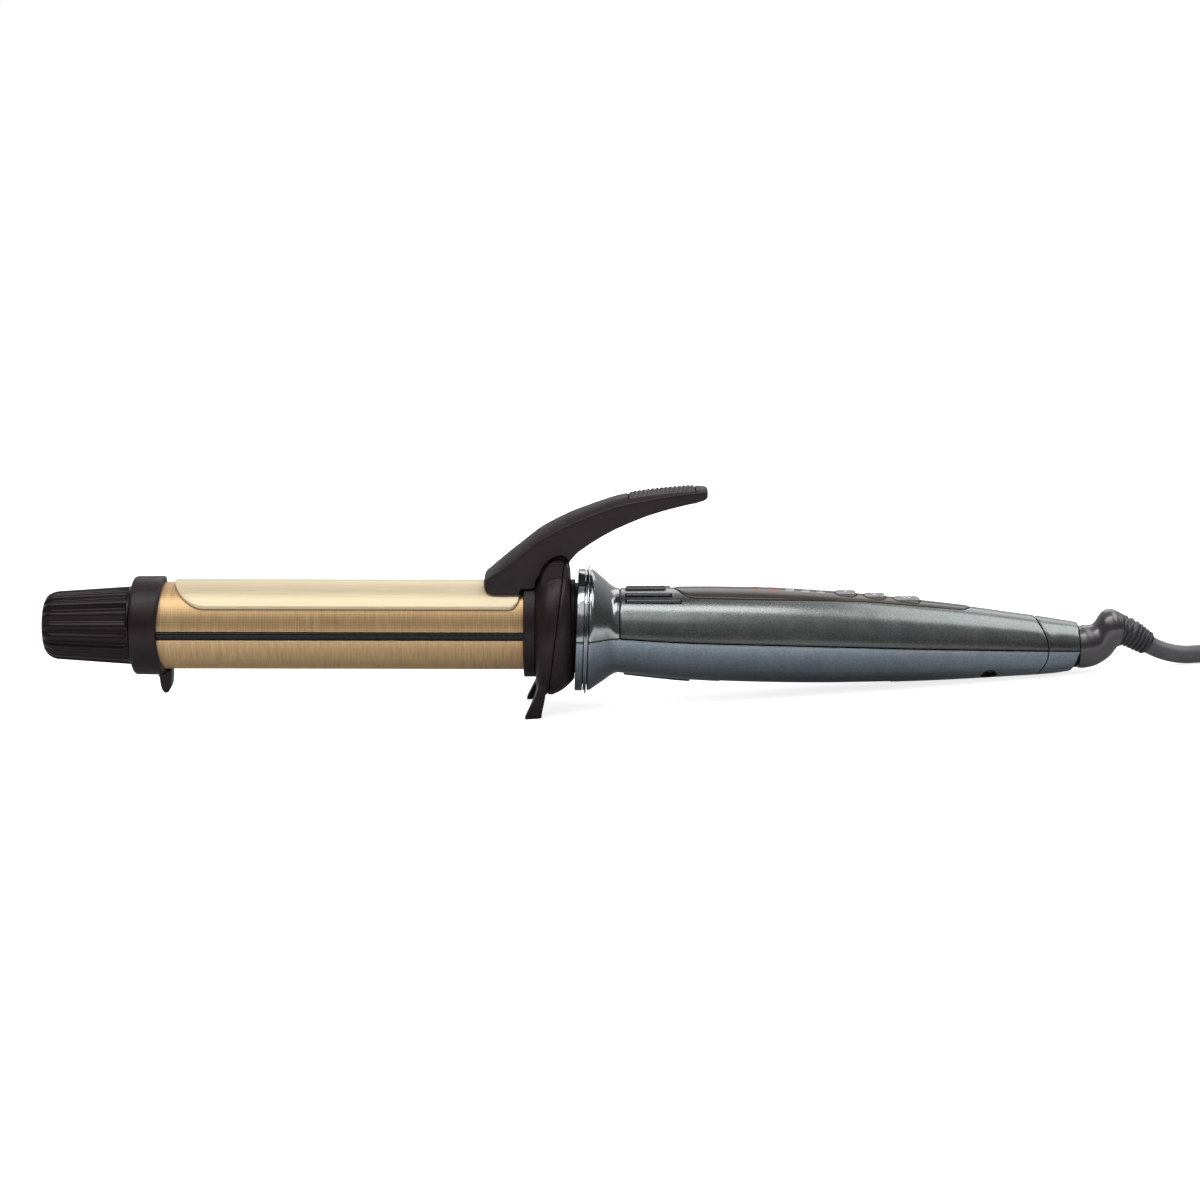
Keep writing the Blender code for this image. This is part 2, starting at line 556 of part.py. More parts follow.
# ------------------------------------------------------------------ handle
solid("neck_ring", *turned([(-0.95, BARREL_R + GAP), (-0.95, 14.1), (0.35, 14.1), (0.35, BARREL_R + GAP)], 28), DARKGLOSS)
solid("trim_ring", *turned([(3.25, 16.7), (3.25, TRIM_R - 0.2), (3.45, TRIM_R), (3.8, TRIM_R), (3.95, TRIM_R - 0.2),
                            (3.95, 16.7)], 36, FLANGE_Z), STEEL)
front_out = [(0.7, 17.8), (1.1, FLANGE_R), (2.9, FLANGE_R), (2.95, 16.4), (4.25, 16.4)] + BELL
front_in = [(0.7, 13.6), (1.2, 13.6), (2.0, 13.6), (3.0, 13.6), (4.2, 13.6), (5.0, 13.6), (5.6, 13.6), (6.4, 13.6),
            (7.2, 13.0), (9.6, 11.6), (11.6, 10.9), (13.6, 10.75)]
bell_out = [(x, FLANGE_Z if x < 12 else -1.2, r) for x, r in front_out]
bell_in = [(x, 0.0 if x < 7 else -0.8, r) for x, r in front_in]
solid("bell_upper", *half_shell(bell_out, bell_in, 1), GUNMETAL)

SHELL_X1 = SLEEVE_X0 - GAP
body_xs = [13.9, 22.8, 34.0, 46.0, 58.8, 72.0, 86.0, 99.0, 112.8, 125.5]


def body_rows(xs, wall, x_end):
    rows = [(x, handle(x)[0], handle(x)[1] - wall) for x in xs]
    rows.append((x_end, handle(x_end)[0], handle(x_end)[1] - wall, SLEEVE_BOW))
    return rows


upper = solid("handle_upper", *half_shell(body_rows(body_xs, 0, SHELL_X1), body_rows(body_xs, WALL, SHELL_X1), 1), GUNMETAL)
lower = solid("handle_lower", *half_shell(bell_out + body_rows(body_xs, 0, SHELL_X1),
                                          bell_in + body_rows(body_xs, WALL, SHELL_X1), -1), BLUEGREY)


def panel_half(x):
    """Half width of the lens-shaped control panel."""
    if x < 36.0:
        return 1.2 + 5.4 * math.sin(math.pi / 2 * (x - PANEL_X0) / (36.0 - PANEL_X0)) ** 0.8 if x > PANEL_X0 else 1.2
    t = (x - 36.0) / (PANEL_X1 - 36.0)
    w = 6.6 + 0.9 * math.sin(math.pi * min(1.0, t * 1.6)) - 3.4 * t ** 1.4
    if x > PANEL_X1 - 2.6:
        w *= math.sqrt(max(0.12, 1 - ((x - PANEL_X1 + 2.6) / 2.75) ** 2))
    return w


panel_xs = [PANEL_X0, 31.4, 33.2, 36.0, 46.0, 58.8, 72.0, 86.0, 99.0, 112.8, 115.7, 117.2, PANEL_X1]


def panel_loops(grow, top_off, bottom_off, n=6):
    outs, ins = [], []
    for k, x in enumerate(panel_xs):
        zc, r = handle(x)
        w = panel_half(x) + grow
        xx = x + (-grow if k == 0 else grow if k == len(panel_xs) - 1 else 0.0)
        ys = [-w + 2 * w * i / n for i in range(n + 1)]
        outs.append([(xx, y, zc + math.sqrt((r + top_off) ** 2 - y * y)) for y in ys])
        ins.append([(xx, y, zc + math.sqrt((r + bottom_off) ** 2 - y * y)) for y in ys])
    return strips(outs, ins)


panel = solid("control_panel", *panel_loops(0.0, 0.25, -0.9), DARKGLOSS)
boolean(upper, guide("panel_recess", *panel_loops(GAP, 3.0, -0.9 - GAP)))

for name, x0, x1 in BUTTONS:
    zc, r = handle((x0 + x1) / 2)
    top = zc + r + BUTTON_PROUD
    outline = rounded_rect(x0, x1, -BUTTON_HALF, BUTTON_HALF, 1.6)
    hole = rounded_rect(x0 - GAP, x1 + GAP, -BUTTON_HALF - GAP, BUTTON_HALF + GAP, 1.9)
    cx = (x0 + x1) / 2
    cap_ring = [(cx + (x - cx) * 0.86, y * 0.82, top) for x, y in outline]
    rings = [[(x, y, top - 5.2) for x, y in outline], [(x, y, top - 0.45) for x, y in outline], cap_ring]
    solid(name, *bridge(rings), ((0.35, 0.35, 0.37), 0.2, 0.7), root, (cx, 0.0, top))
    cutter = guide(name + "_hole", *prism_z(hole, zc + r - 5.0, zc + r + 5.0))
    boolean(panel, cutter)
    boolean(upper, cutter)


def rib_bodies(ribs, side, grow, top_off, base):
    """One long rounded rib per row on each side of the crown."""
    out = []
    for a, x0, x1 in ribs:
        for sgn in (-1, 1):
            half = RIB_HALF + grow
            loops_o, loops_i = [], []
            xs = [x0 - grow, x0 + 0.9, x1 - 0.9, x1 + grow]
            for k, x in enumerate(xs):
                zc, r = handle(x)
                w = half * (0.6 if k in (0, len(xs) - 1) else 1.0)
                lift = top_off * (0.45 if k in (0, len(xs) - 1) else 1.0)
                o, i = [], []
                for t in (-1, 0, 1):
                    ang = math.radians(sgn * a) + t * w / r
                    ro = r + (lift * (1.0 - 0.45 * t * t) if grow == 0 else top_off)
                    o.append((x, ro * math.sin(ang), zc + side * ro * math.cos(ang)))
                    i.append((x, (r - base) * math.sin(ang), zc + side * (r - base) * math.cos(ang)))
                loops_o.append(o)
                loops_i.append(i)
            out.append(strips(loops_o, loops_i))
    return out


for name, shell, ribs, side in (("grip_insert_upper", upper, RIBS_TOP, 1), ("grip_insert_lower", lower, RIBS_BOTTOM, -1)):
    x0, x1 = ribs[0][1] - 0.4, ribs[-1][2] + 0.4
    xs = [x0 + (x1 - x0) * t / 5 for t in range(6)]
    span = math.radians(46)

    def arc_at(x, inset):
        zc, r = handle(x)
        return [(x, (r - inset) * math.sin(-span + 2 * span * i / 14),
                 zc + side * (r - inset) * math.cos(-span + 2 * span * i / 14)) for i in range(15)]
    insert = solid(name, *strips([arc_at(x, WALL + GAP) for x in xs], [arc_at(x, WALL + GAP + 0.9) for x in xs]), DARKGLOSS)
    for k, body in enumerate(rib_bodies(ribs, side, 0.0, RIB_PROUD, WALL + GAP + 0.4)):
        boolean(insert, guide("%s_rib_%d" % (name, k), *body), "UNION")
    for k, body in enumerate(rib_bodies(ribs, side, GAP, 2.5, WALL + 1.0)):
        boolean(shell, guide("%s_slot_%d" % (name, k), *body))

# blank rating plate let into the underside
plate_xs = [44.0, 58.8, 76.8, 95.0]


def plate_loops(xs, grow, top_off, bottom_off, half=5.2, n=6):
    outs, ins = [], []
    for k, x in enumerate(xs):
        zc, r = handle(x)
        w = half + grow
        xx = x + (-grow if k == 0 else grow if k == len(xs) - 1 else 0.0)
        ys = [-w + 2 * w * i / n for i in range(n + 1)]
        outs.append([(xx, y, zc - math.sqrt((r + top_off) ** 2 - y * y)) for y in ys])
        ins.append([(xx, y, zc - math.sqrt((r + bottom_off) ** 2 - y * y)) for y in ys])
    return strips(outs, ins)


solid("rating_plate", *plate_loops(plate_xs, 0.0, -0.15, -0.75), DARKGLOSS)
boolean(lower, guide("plate_recess", *plate_loops(plate_xs, GAP, 2.0, -0.75 - GAP)))

# rear case screws, in recesses from below, into posts
for tag, y in (("near", -5.0), ("far", 5.0)):
    zc, r = handle(124.3)
    deck = zc - math.sqrt((r - 0.0) ** 2 - 25.0)
    boolean(lower, guide("screw_recess_" + tag, *prism_z(circle_xy(124.3, y, 2.3, 20), deck - 4.0, deck + 1.3)))
    boolean(lower, guide("screw_hole_" + tag, *prism_z(circle_xy(124.3, y, 1.4, 16), deck - 1.0, deck + 6.0)))
    head = bridge([[(px, py, deck + 0.1) for px, py in circle_xy(124.3, y, 1.7, 16)],
                   [(px, py, deck + 1.0) for px, py in circle_xy(124.3, y, 1.9, 16)],
                   [(px, py, deck + 1.0) for px, py in circle_xy(124.3, y, 1.05, 16)],
                   [(px, py, deck + 6.0) for px, py in circle_xy(124.3, y, 1.05, 16)]])
    solid("case_screw_" + tag, *head, STEEL)

# ------------------------------------------------------------------ electronics
BOARD_Z = 0.4
solid("circuit_board", *box(56.0, 108.0, -5.0, 5.0, BOARD_Z - 1.6, BOARD_Z), BOARD, smooth=False)
for name, x0, x1 in BUTTONS:
    zc, r = handle((x0 + x1) / 2)
    foot_z = zc + r + BUTTON_PROUD - 5.2
    cx = (x0 + x1) / 2
    solid(name.replace("button", "switch"),
          *bridge([rounded_rect_z for rounded_rect_z in
                   ([(x, y, BOARD_Z + 0.3) for x, y in rounded_rect(cx - 2.6, cx + 2.6, -2.6, 2.6, 0.4, 2)],
                    [(x, y, foot_z - 2.2) for x, y in rounded_rect(cx - 2.6, cx + 2.6, -2.6, 2.6, 0.4, 2)],
                    [(x, y, foot_z - 2.2) for x, y in rounded_rect(cx - 1.3, cx + 1.3, -1.3, 1.3, 0.4, 2)],
                    [(x, y, foot_z - 1.2) for x, y in rounded_rect(cx - 1.3, cx + 1.3, -1.3, 1.3, 0.4, 2)])]),
          DARKGLOSS, smooth=False)
solid("indicator_block", *box(57.0, 76.0, -3.6, 3.6, BOARD_Z + 0.3, 7.0), CERAMIC, smooth=False)
solid("power_triac", *box(58.0, 68.0, -4.4, 4.4, -5.5, BOARD_Z - 1.9), DARKGLOSS, smooth=False)
solid("capacitor", *box(72.0, 88.0, -4.2, 4.2, -8.6, BOARD_Z - 1.9), ((0.5, 0.32, 0.04), 0.4), smooth=False)
for tag, y in (("near", -3.2), ("far", 3.2)):
    solid("heater_lead_" + tag, *tube([(-40.0 + 3.0, y, 0.0), (-28.0, y * 1.2, -1.0), (-8.0, y * 1.3, -2.0), (12.0, y * 1.3, -3.0),
                                       (32.0, y * 1.2, -4.0), (46.0, y * 1.1, -3.0), (55.4, y, 1.2)], 0.75, 8), RUBBER)
    solid("mains_wire_" + tag, *tube([(108.6, y, 1.2), (114.0, y, 0.6), (119.0, y * 0.9, -1.2), (126.6, y * 0.85, -2.6)], 0.75, 8),
          RUBBER)

# ------------------------------------------------------------------ swivel tail


def sleeve_ring(x, r, zc, bow, n=24):
    return [(x + bow * math.sin(2 * math.pi * i / n) ** 2, r * math.sin(2 * math.pi * i / n),
             zc + r * math.cos(2 * math.pi * i / n)) for i in range(n)]


rings = []
for x, bow in ((SLEEVE_X0, SLEEVE_BOW), (141.8, 1.8), (145.0, 0.6), (149.4, 0), (SLEEVE_X1 - 0.4, 0)):
    rings.append(sleeve_ring(x, handle(x)[1], handle(x)[0], bow))
rings.append(sleeve_ring(SLEEVE_X1, handle(SLEEVE_X1)[1] - 0.4, handle(SLEEVE_X1)[0], 0))
for x, r, zc, bow in ((SLEEVE_X1, 4.9, SWIVEL_Z, 0), (146.6, 4.9, SWIVEL_Z, 0), (146.6, 6.4, SWIVEL_Z, 0),
                      (SLEEVE_X0, 6.4, SWIVEL_Z + 0.3, SLEEVE_BOW)):
    rings.append(sleeve_ring(x, r, zc, bow))
solid("rear_sleeve", *bridge(rings, closed=True), GUNMETAL)



def disc(x, z, r, direction, n=18):
    a = math.radians(direction)
    return [(x - r * math.cos(2 * math.pi * i / n) * math.sin(a), r * math.sin(2 * math.pi * i / n),
             z + r * math.cos(2 * math.pi * i / n) * math.cos(a)) for i in range(n)]


elbow = solid("swivel_elbow", *bridge([disc(*row) for row in ELBOW]), DARKGLOSS, swivel, (SLEEVE_X1, 0, SWIVEL_Z))
stub = guide("elbow_stub", *rod([(138.9, 2.4), (138.9 + 2.0, 2.4), (140.9, 4.5), (154.0, 4.5)], 24, SWIVEL_Z))
boolean(elbow, stub, "UNION")
solid("swivel_retainer", *turned([(142.6, 4.85), (142.6, 5.9), (145.2, 5.9), (145.2, 4.85)], 32, SWIVEL_Z), STEEL, swivel,
      (SLEEVE_X1, 0, SWIVEL_Z))
solid("slip_ring", *turned([(129.0, 1.2), (129.0, 2.4), (138.5, 2.4), (138.5, 1.2)], 24, SWIVEL_Z), BRASS, swivel,
      (SLEEVE_X1, 0, SWIVEL_Z))
brush = solid("brush_block", *box(128.2, 135.0, -5.2, 5.2, SWIVEL_Z - 3.6, SWIVEL_Z + 5.2), ((0.6, 0.57, 0.5), 0.6),
              smooth=False)
boolean(brush, guide("brush_bore", *rod([(120.0, 2.8), (140.0, 2.8)], 24, SWIVEL_Z)))

drop = math.radians(RELIEF_DROP)
ux, uz = math.cos(drop), -math.sin(drop)
relief_rows = []
RELIEF_RIBS = 5
for k in range(RELIEF_RIBS):
    s0 = RELIEF_LEN * k / RELIEF_RIBS
    pitch_len = RELIEF_LEN / RELIEF_RIBS
    r = RELIEF_R0 + (RELIEF_R1 - RELIEF_R0) * k / (RELIEF_RIBS - 1)
    relief_rows += [(s0 + 0.05, r), (s0 + pitch_len * 0.62, r), (s0 + pitch_len * 0.7, r - 0.55)]
    if k < RELIEF_RIBS - 1:
        relief_rows += [(s0 + pitch_len * 0.95, r - 0.6)]
rings = []
for s, r in relief_rows:
    c = Vector((RELIEF_X + s * ux, 0.0, RELIEF_Z + s * uz))
    up = Vector((-uz, 0.0, ux))
    rings.append([tuple(c + r * (math.cos(2 * math.pi * i / 14) * up + math.sin(2 * math.pi * i / 14) * Vector((0, 1, 0))))
                  for i in range(14)])
solid("strain_relief", *bridge(rings), RUBBER, swivel, (SLEEVE_X1, 0, SWIVEL_Z))

# ------------------------------------------------------------------ mains lead, in world axes (mm)
pitch = math.radians(PITCH)


def world(x, z):
    return (x * math.cos(pitch) + z * math.sin(pitch) + SHIFT, -x * math.sin(pitch) + z * math.cos(pitch) + LIFT)


s_end = relief_rows[-1][0]
EXIT_X, EXIT_Z = world(RELIEF_X + s_end * ux, RELIEF_Z + s_end * uz)
DROP = drop + pitch
CORD_R = CORD_D / 2


def cord_object(name, points, look):
    curve = bpy.data.curves.new(name, "CURVE")
    curve.dimensions = "3D"
    curve.bevel_depth = CORD_R * MM
    curve.bevel_resolution = 2
    curve.use_fill_caps = True
    spline = curve.splines.new("POLY")
    spline.points.add(len(points) - 1)
    for p, q in zip(spline.points, points):
        p.co = (q[0] * MM, q[1] * MM, q[2] * MM, 1.0)
    curve.materials.append(material(name, *look))
    obj = bpy.data.objects.new(name, curve)
    bpy.context.scene.collection.objects.link(obj)
    return obj


# lead: leaves the relief along its axis, bends level onto the surface and sweeps across to the hank's near run
lead = []
bend_r = (EXIT_Z - CORD_R - 0.35) / (1 - math.cos(DROP))
start = 0.32
x0, z0 = EXIT_X + start * math.cos(DROP), EXIT_Z - start * math.sin(DROP)
bend_r = (z0 - CORD_R - 0.02) / (1 - math.cos(DROP))
for k in range(7):
    a = DROP * (1 - k / 6)
    lead.append((x0 + bend_r * (math.sin(DROP) - math.sin(a)), 0.0,
                 z0 - bend_r * (math.cos(a) - math.cos(DROP))))
LEAD_END = HANK_X0 + 8.4
x_flat = lead[-1][0]
RUN_Y = HANK_Y - HANK_R
SWEEP_R = 22.3
turn = math.acos(1 + RUN_Y / (2 * SWEEP_R))
for k in range(1, 6):
    a = turn * k / 5
    lead.append((x_flat + SWEEP_R * math.sin(a), -SWEEP_R * (1 - math.cos(a)), lead[6][2]))
for k in range(1, 6):
    a = turn * (1 - k / 5)
    lead.append((x_flat + SWEEP_R * (2 * math.sin(turn) - math.sin(a)), RUN_Y + SWEEP_R * (1 - math.cos(a)), lead[6][2]))
lead.append((LEAD_END, RUN_Y, lead[6][2]))
GREY = ((0.10, 0.10, 0.11), 0.55)
cord_object("cord_lead", lead, GREY)

# hank: outline with round ends, its near run in line with the lead
out_r = HANK_R + CORD_R
cx0, cx1, cy = HANK_X0 + out_r, HANK_X0 + out_r + HANK_RUN, HANK_Y
outline = []
for k in range(13):
    a = math.radians(-90 + 180 * k / 12)
    outline.append((cx1 + out_r * math.cos(a), cy + out_r * math.sin(a)))
for k in range(13):
    a = math.radians(90 + 180 * k / 12)
    outline.append((cx0 + out_r * math.cos(a), cy + out_r * math.sin(a)))
solid("cord_hank", *prism_z(outline, 1.0, 1.0 + HANK_H), GREY, None)

# strap round the hank's far end
TIE_X0, TIE_X1 = 300.0, 312.0
tie_out = rounded_rect(cy - out_r - 1.3, cy + out_r + 1.3, 0.02, 1.0 + HANK_H + 1.0, 2.2)
tie_in = rounded_rect(cy - out_r - 0.35, cy + out_r + 0.35, 0.7, 1.0 + HANK_H + 0.3, 0.3)
rings = [[(TIE_X0, y, z) for y, z in tie_out], [(TIE_X1, y, z) for y, z in tie_out],
         [(TIE_X1, y, z) for y, z in tie_in], [(TIE_X0, y, z) for y, z in tie_in]]
solid("cord_tie", *bridge(rings, closed=True), RUBBER, None)

# plug, lying along the near run on top of the hank, and the tail that leads into it
PLUG_Y, PLUG_Z = HANK_Y - 16.0, 1.0 + HANK_H + 0.3 + 7.0
PLUG_X = 248.0


def rounded_ring(x, hw, hh, r, y=PLUG_Y, z=PLUG_Z, k=4):
    return [(x, y + a, z + b) for a, b in rounded_rect(-hw, hw, -hh, hh, r, k)]


plug_rows = [(PLUG_X - 22.0, 3.5, 3.5, 3.45), (PLUG_X - 12.0, 4.0, 4.0, 3.9), (PLUG_X - 3.0, 4.8, 4.6, 4.3),
             (PLUG_X, 6.8, 5.2, 4.6), (PLUG_X + 2.5, 8.8, 5.6, 4.6), (PLUG_X + 8.0, 10.0, 6.0, 4.6),
             (PLUG_X + 16.0, 9.6, 5.8, 4.4), (PLUG_X + 24.0, 11.6, 6.9, 4.4), (PLUG_X + 27.5, 12.0, 7.0, 4.2),
             (PLUG_X + 30.0, 12.0, 7.0, 4.2)]
plug = solid("plug_body", *bridge([rounded_ring(*row) for row in plug_rows]), RUBBER, None)
for tag, y in (("left", PLUG_Y - 6.35), ("right", PLUG_Y + 6.35)):
    x0, x1 = PLUG_X + 24.0, PLUG_X + 30.0 + 17.0
    boolean(plug, guide("blade_slot_" + tag, *box(x0 - GAP, x1, y - 0.75 - GAP, y + 0.75 + GAP, PLUG_Z - 3.2 - GAP,
                                                  PLUG_Z + 3.2 + GAP), parent=None))
    blade = bridge([[(x0, y - 0.75, PLUG_Z - 3.2), (x0, y + 0.75, PLUG_Z - 3.2), (x0, y + 0.75, PLUG_Z + 3.2), (x0, y - 0.75, PLUG_Z + 3.2)],
                    [(x1 - 1.2, y - 0.75, PLUG_Z - 3.2), (x1 - 1.2, y + 0.75, PLUG_Z - 3.2), (x1 - 1.2, y + 0.75, PLUG_Z + 3.2), (x1 - 1.2, y - 0.75, PLUG_Z + 3.2)],
                    [(x1, y - 0.3, PLUG_Z - 2.4), (x1, y + 0.3, PLUG_Z - 2.4), (x1, y + 0.3, PLUG_Z + 2.4), (x1, y - 0.3, PLUG_Z + 2.4)]])
    solid("plug_blade_" + tag, *blade, BRASS, None, smooth=False)

tail = []
TAIL_R = 16.5
for k in range(12):
    a = math.radians(100 - 160.0 * k / 11)
    ang = math.pi / 2 + math.radians(20 + 160.0 * k / 11)
    t = k / 11
    z = 1.0 + HANK_H + 0.35 + CORD_R + (PLUG_Z - (1.0 + HANK_H + 0.35 + CORD_R)) * (t * t * (3 - 2 * t)) * 0.8
    tail.append((cx0 + (TAIL_R - 0.5 * t) * math.cos(ang), cy + (TAIL_R - 0.5 * t) * math.sin(ang), z))
tail_end = PLUG_X - 22.0 - 0.32
last = tail[-1]
if tail_end > last[0] + 1.0:
    tail.append((tail_end, PLUG_Y, PLUG_Z))
cord_object("cord_tail", tail, GREY)
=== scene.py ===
import bpy
import bmesh
import math
from mathutils import Matrix, Vector

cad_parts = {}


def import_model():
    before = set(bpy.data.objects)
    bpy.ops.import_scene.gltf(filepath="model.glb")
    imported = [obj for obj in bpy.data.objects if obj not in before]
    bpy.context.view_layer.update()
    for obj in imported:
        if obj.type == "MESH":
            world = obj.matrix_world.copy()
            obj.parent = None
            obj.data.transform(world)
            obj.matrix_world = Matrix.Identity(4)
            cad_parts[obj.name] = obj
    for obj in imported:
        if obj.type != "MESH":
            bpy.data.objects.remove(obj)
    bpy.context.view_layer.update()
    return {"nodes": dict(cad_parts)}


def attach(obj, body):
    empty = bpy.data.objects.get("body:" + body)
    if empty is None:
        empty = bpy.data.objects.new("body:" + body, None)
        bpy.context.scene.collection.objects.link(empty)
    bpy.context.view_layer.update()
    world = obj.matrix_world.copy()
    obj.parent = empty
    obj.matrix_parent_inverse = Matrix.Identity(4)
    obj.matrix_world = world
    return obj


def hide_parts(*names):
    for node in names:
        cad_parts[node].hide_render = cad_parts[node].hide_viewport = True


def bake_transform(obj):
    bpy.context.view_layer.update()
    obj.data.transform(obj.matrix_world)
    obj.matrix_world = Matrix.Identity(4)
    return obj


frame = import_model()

MM = 0.001

# ------------------------------------------------------------------ the iron's own frame, as in part.py (mm, degrees)
PITCH, LIFT, SHIFT = 4.105, 24.373, -7.108
ROOT = Matrix.Translation((SHIFT * MM, 0, LIFT * MM)) @ Matrix.Rotation(math.radians(PITCH), 4, "Y")
GAP = 0.3
BARREL_R = 13.05
INLAY_HALF, INLAY_Z = 1.15, -0.5
CLIP_R_IN, CLIP_T, CLIP_SPAN = 13.3, 0.65, 56.6
PIVOT_X, PIVOT_Z, PIN_R = -5.7, 19.3, 1.25
EAR_IN, EAR_OUT = 7.9, 11.9
HOUSING_R, PARTING_X, PARTING_SLOPE = 20.6, -5.3, 0.1228
LEG_Y0, LEG_Y1 = 10.5, 14.5
FLANGE_R, FLANGE_Z, TRIM_R, WALL = 18.3, -1.1, 19.2, 2.0
HANDLE = [(13.8, -1.25, 12.75), (22.8, -1.7, 13.3), (31.8, -2.1, 13.8), (40.8, -2.35, 14.1),
          (49.8, -2.55, 14.2), (58.8, -2.75, 14.2), (67.8, -3.0, 14.05), (76.8, -3.3, 13.75),
          (85.8, -3.6, 13.3), (94.8, -3.95, 12.75), (103.8, -4.3, 12.1), (112.8, -4.6, 11.4),
          (121.8, -4.9, 10.6), (130.8, -5.25, 9.7), (139.8, -5.6, 8.8), (149.4, -5.9, 7.6),
          (152.0, -6.0, 7.2)]
BELL = [(4.3, 18.2), (5.2, 18.1), (6.6, 17.1), (9.0, 15.3), (11.4, 13.4), (12.6, 12.85), (13.6, 12.75)]
SLEEVE_X0, SLEEVE_X1, SLEEVE_BOW = 138.4, 151.2, 3.4
ELBOW = [(151.6, -6.1, 6.3, 0), (153.0, -6.05, 6.4, 6), (155.3, -5.4, 6.35, 22), (158.5, -4.0, 5.6, 27),
         (160.7, -0.95, 5.85, 24), (162.15, -0.25, 5.9, 10), (163.4, -0.65, 5.35, -1), (165.0, -1.25, 4.7, -16),
         (166.83, -1.68, 4.42, -31)]
RELIEF_X, RELIEF_Z, RELIEF_DROP, RELIEF_LEN = 167.10, -1.84, 31.0, 6.6
SWIVEL_Z = -6.1
CORD_D = 5.5
CORD_R = CORD_D / 2
HANK_X0, HANK_R, HANK_H = 200.0, 22.05, 16.5
HANK_RUN = 85.8          # straight runs of the folded lead, which bring it to 1.8 m

# ------------------------------------------------------------------ camera, at the photograph's viewing angle
ELEVATION, DISTANCE, ROLL = 12.0, 930.0, 0.11
aim = Vector((7.8, 0.0, 8.0)) * MM
e = math.radians(ELEVATION)
back = Vector((0.0, -math.cos(e), math.sin(e)))
right = Vector((1.0, 0.0, 0.0))
up = back.cross(right)
cam_rot = Matrix((right, up, back)).transposed().to_4x4()
cam_local = Matrix.Translation(aim + back * DISTANCE * MM) @ cam_rot @ Matrix.Rotation(math.radians(ROLL), 4, "Z")
cam_data = bpy.data.cameras.new("camera")
cam_data.sensor_width = 36.0
cam_data.lens = 93.0
cam_data.clip_start, cam_data.clip_end = 0.05, 200.0
camera = bpy.data.objects.new("camera", cam_data)
bpy.context.scene.collection.objects.link(camera)
camera.matrix_world = ROOT @ cam_local
bpy.context.scene.camera = camera


# ------------------------------------------------------------------ small geometry library
def table(rows, x, col):
    """Smooth value from a table by a cubic through its points."""
    n = len(rows)
    if x <= rows[0][0]:
        return rows[0][col]
    if x >= rows[-1][0]:
        return rows[-1][col]
    k = max(i for i in range(n - 1) if rows[i][0] <= x)
    x0, x1 = rows[k][0], rows[k + 1][0]
    h = x1 - x0
    t = (x - x0) / h

    def slope(i):
        if i == 0:
            return (rows[1][col] - rows[0][col]) / (rows[1][0] - rows[0][0])
        if i == n - 1:
            return (rows[-1][col] - rows[-2][col]) / (rows[-1][0] - rows[-2][0])
        return (rows[i + 1][col] - rows[i - 1][col]) / (rows[i + 1][0] - rows[i - 1][0])

    p0, p1, m0, m1 = rows[k][col], rows[k + 1][col], slope(k) * h, slope(k + 1) * h
    return ((2 * t**3 - 3 * t**2 + 1) * p0 + (t**3 - 2 * t**2 + t) * m0
            + (-2 * t**3 + 3 * t**2) * p1 + (t**3 - t**2) * m1)


def handle(x):
    return table(HANDLE, x, 1), table(HANDLE, x, 2)


def smooth(a, b, x):
    t = min(1.0, max(0.0, (x - a) / (b - a)))
    return t * t * (3 - 2 * t)


def linspace(a, b, n):
    return [a + (b - a) * i / (n - 1) for i in range(n)]


def bridge(rings, closed=False, caps=True):
    n = len(rings[0])
    verts = [p for ring in rings for p in ring]
    faces = []
    count = len(rings)
    for k in range(count if closed else count - 1):
        a, b = k * n, ((k + 1) % count) * n
        for i in range(n):
            j = (i + 1) % n
            faces.append((a + i, a + j, b + j, b + i))
    if not closed and caps:
        faces.append(tuple(range(n - 1, -1, -1)))
        faces.append(tuple((count - 1) * n + i for i in range(n)))
    return verts, faces


def around(x, r, zc=0.0, n=96, tilt=0.0):
    out = []
    for i in range(n):
        a = 2 * math.pi * i / n
        out.append((x + tilt * r * math.cos(a), r * math.sin(a), zc + r * math.cos(a)))
    return out


def turned(profile, n=96, zc=0.0):
    return bridge([around(x, r, zc, n) for x, r in profile], closed=True)


def rod(profile, n=96, zc=0.0):
    return bridge([around(x, r, zc, n) for x, r in profile])


def box(x0, x1, y0, y1, z0, z1):
    verts = [(x, y, z) for x in (x0, x1) for y in (y0, y1) for z in (z0, z1)]
    return verts, [(0, 1, 3, 2), (4, 6, 7, 5), (0, 4, 5, 1), (2, 3, 7, 6), (0, 2, 6, 4), (1, 5, 7, 3)]


def prism_y(outline, y0, y1):
    return bridge([[(x, y0, z) for x, z in outline], [(x, y1, z) for x, z in outline]])


def circle(cx, cy, r, n=32):
    return [(cx + r * math.cos(2 * math.pi * i / n), cy + r * math.sin(2 * math.pi * i / n)) for i in range(n)]


def rounded_rect(x0, x1, y0, y1, r, k=6):
    pts = []
    for cx, cy, a0 in ((x1 - r, y1 - r, 0), (x0 + r, y1 - r, 90), (x0 + r, y0 + r, 180), (x1 - r, y0 + r, 270)):
        for i in range(k + 1):
            a = math.radians(a0 + 90 * i / k)
            pts.append((cx + r * math.cos(a), cy + r * math.sin(a)))
    return pts


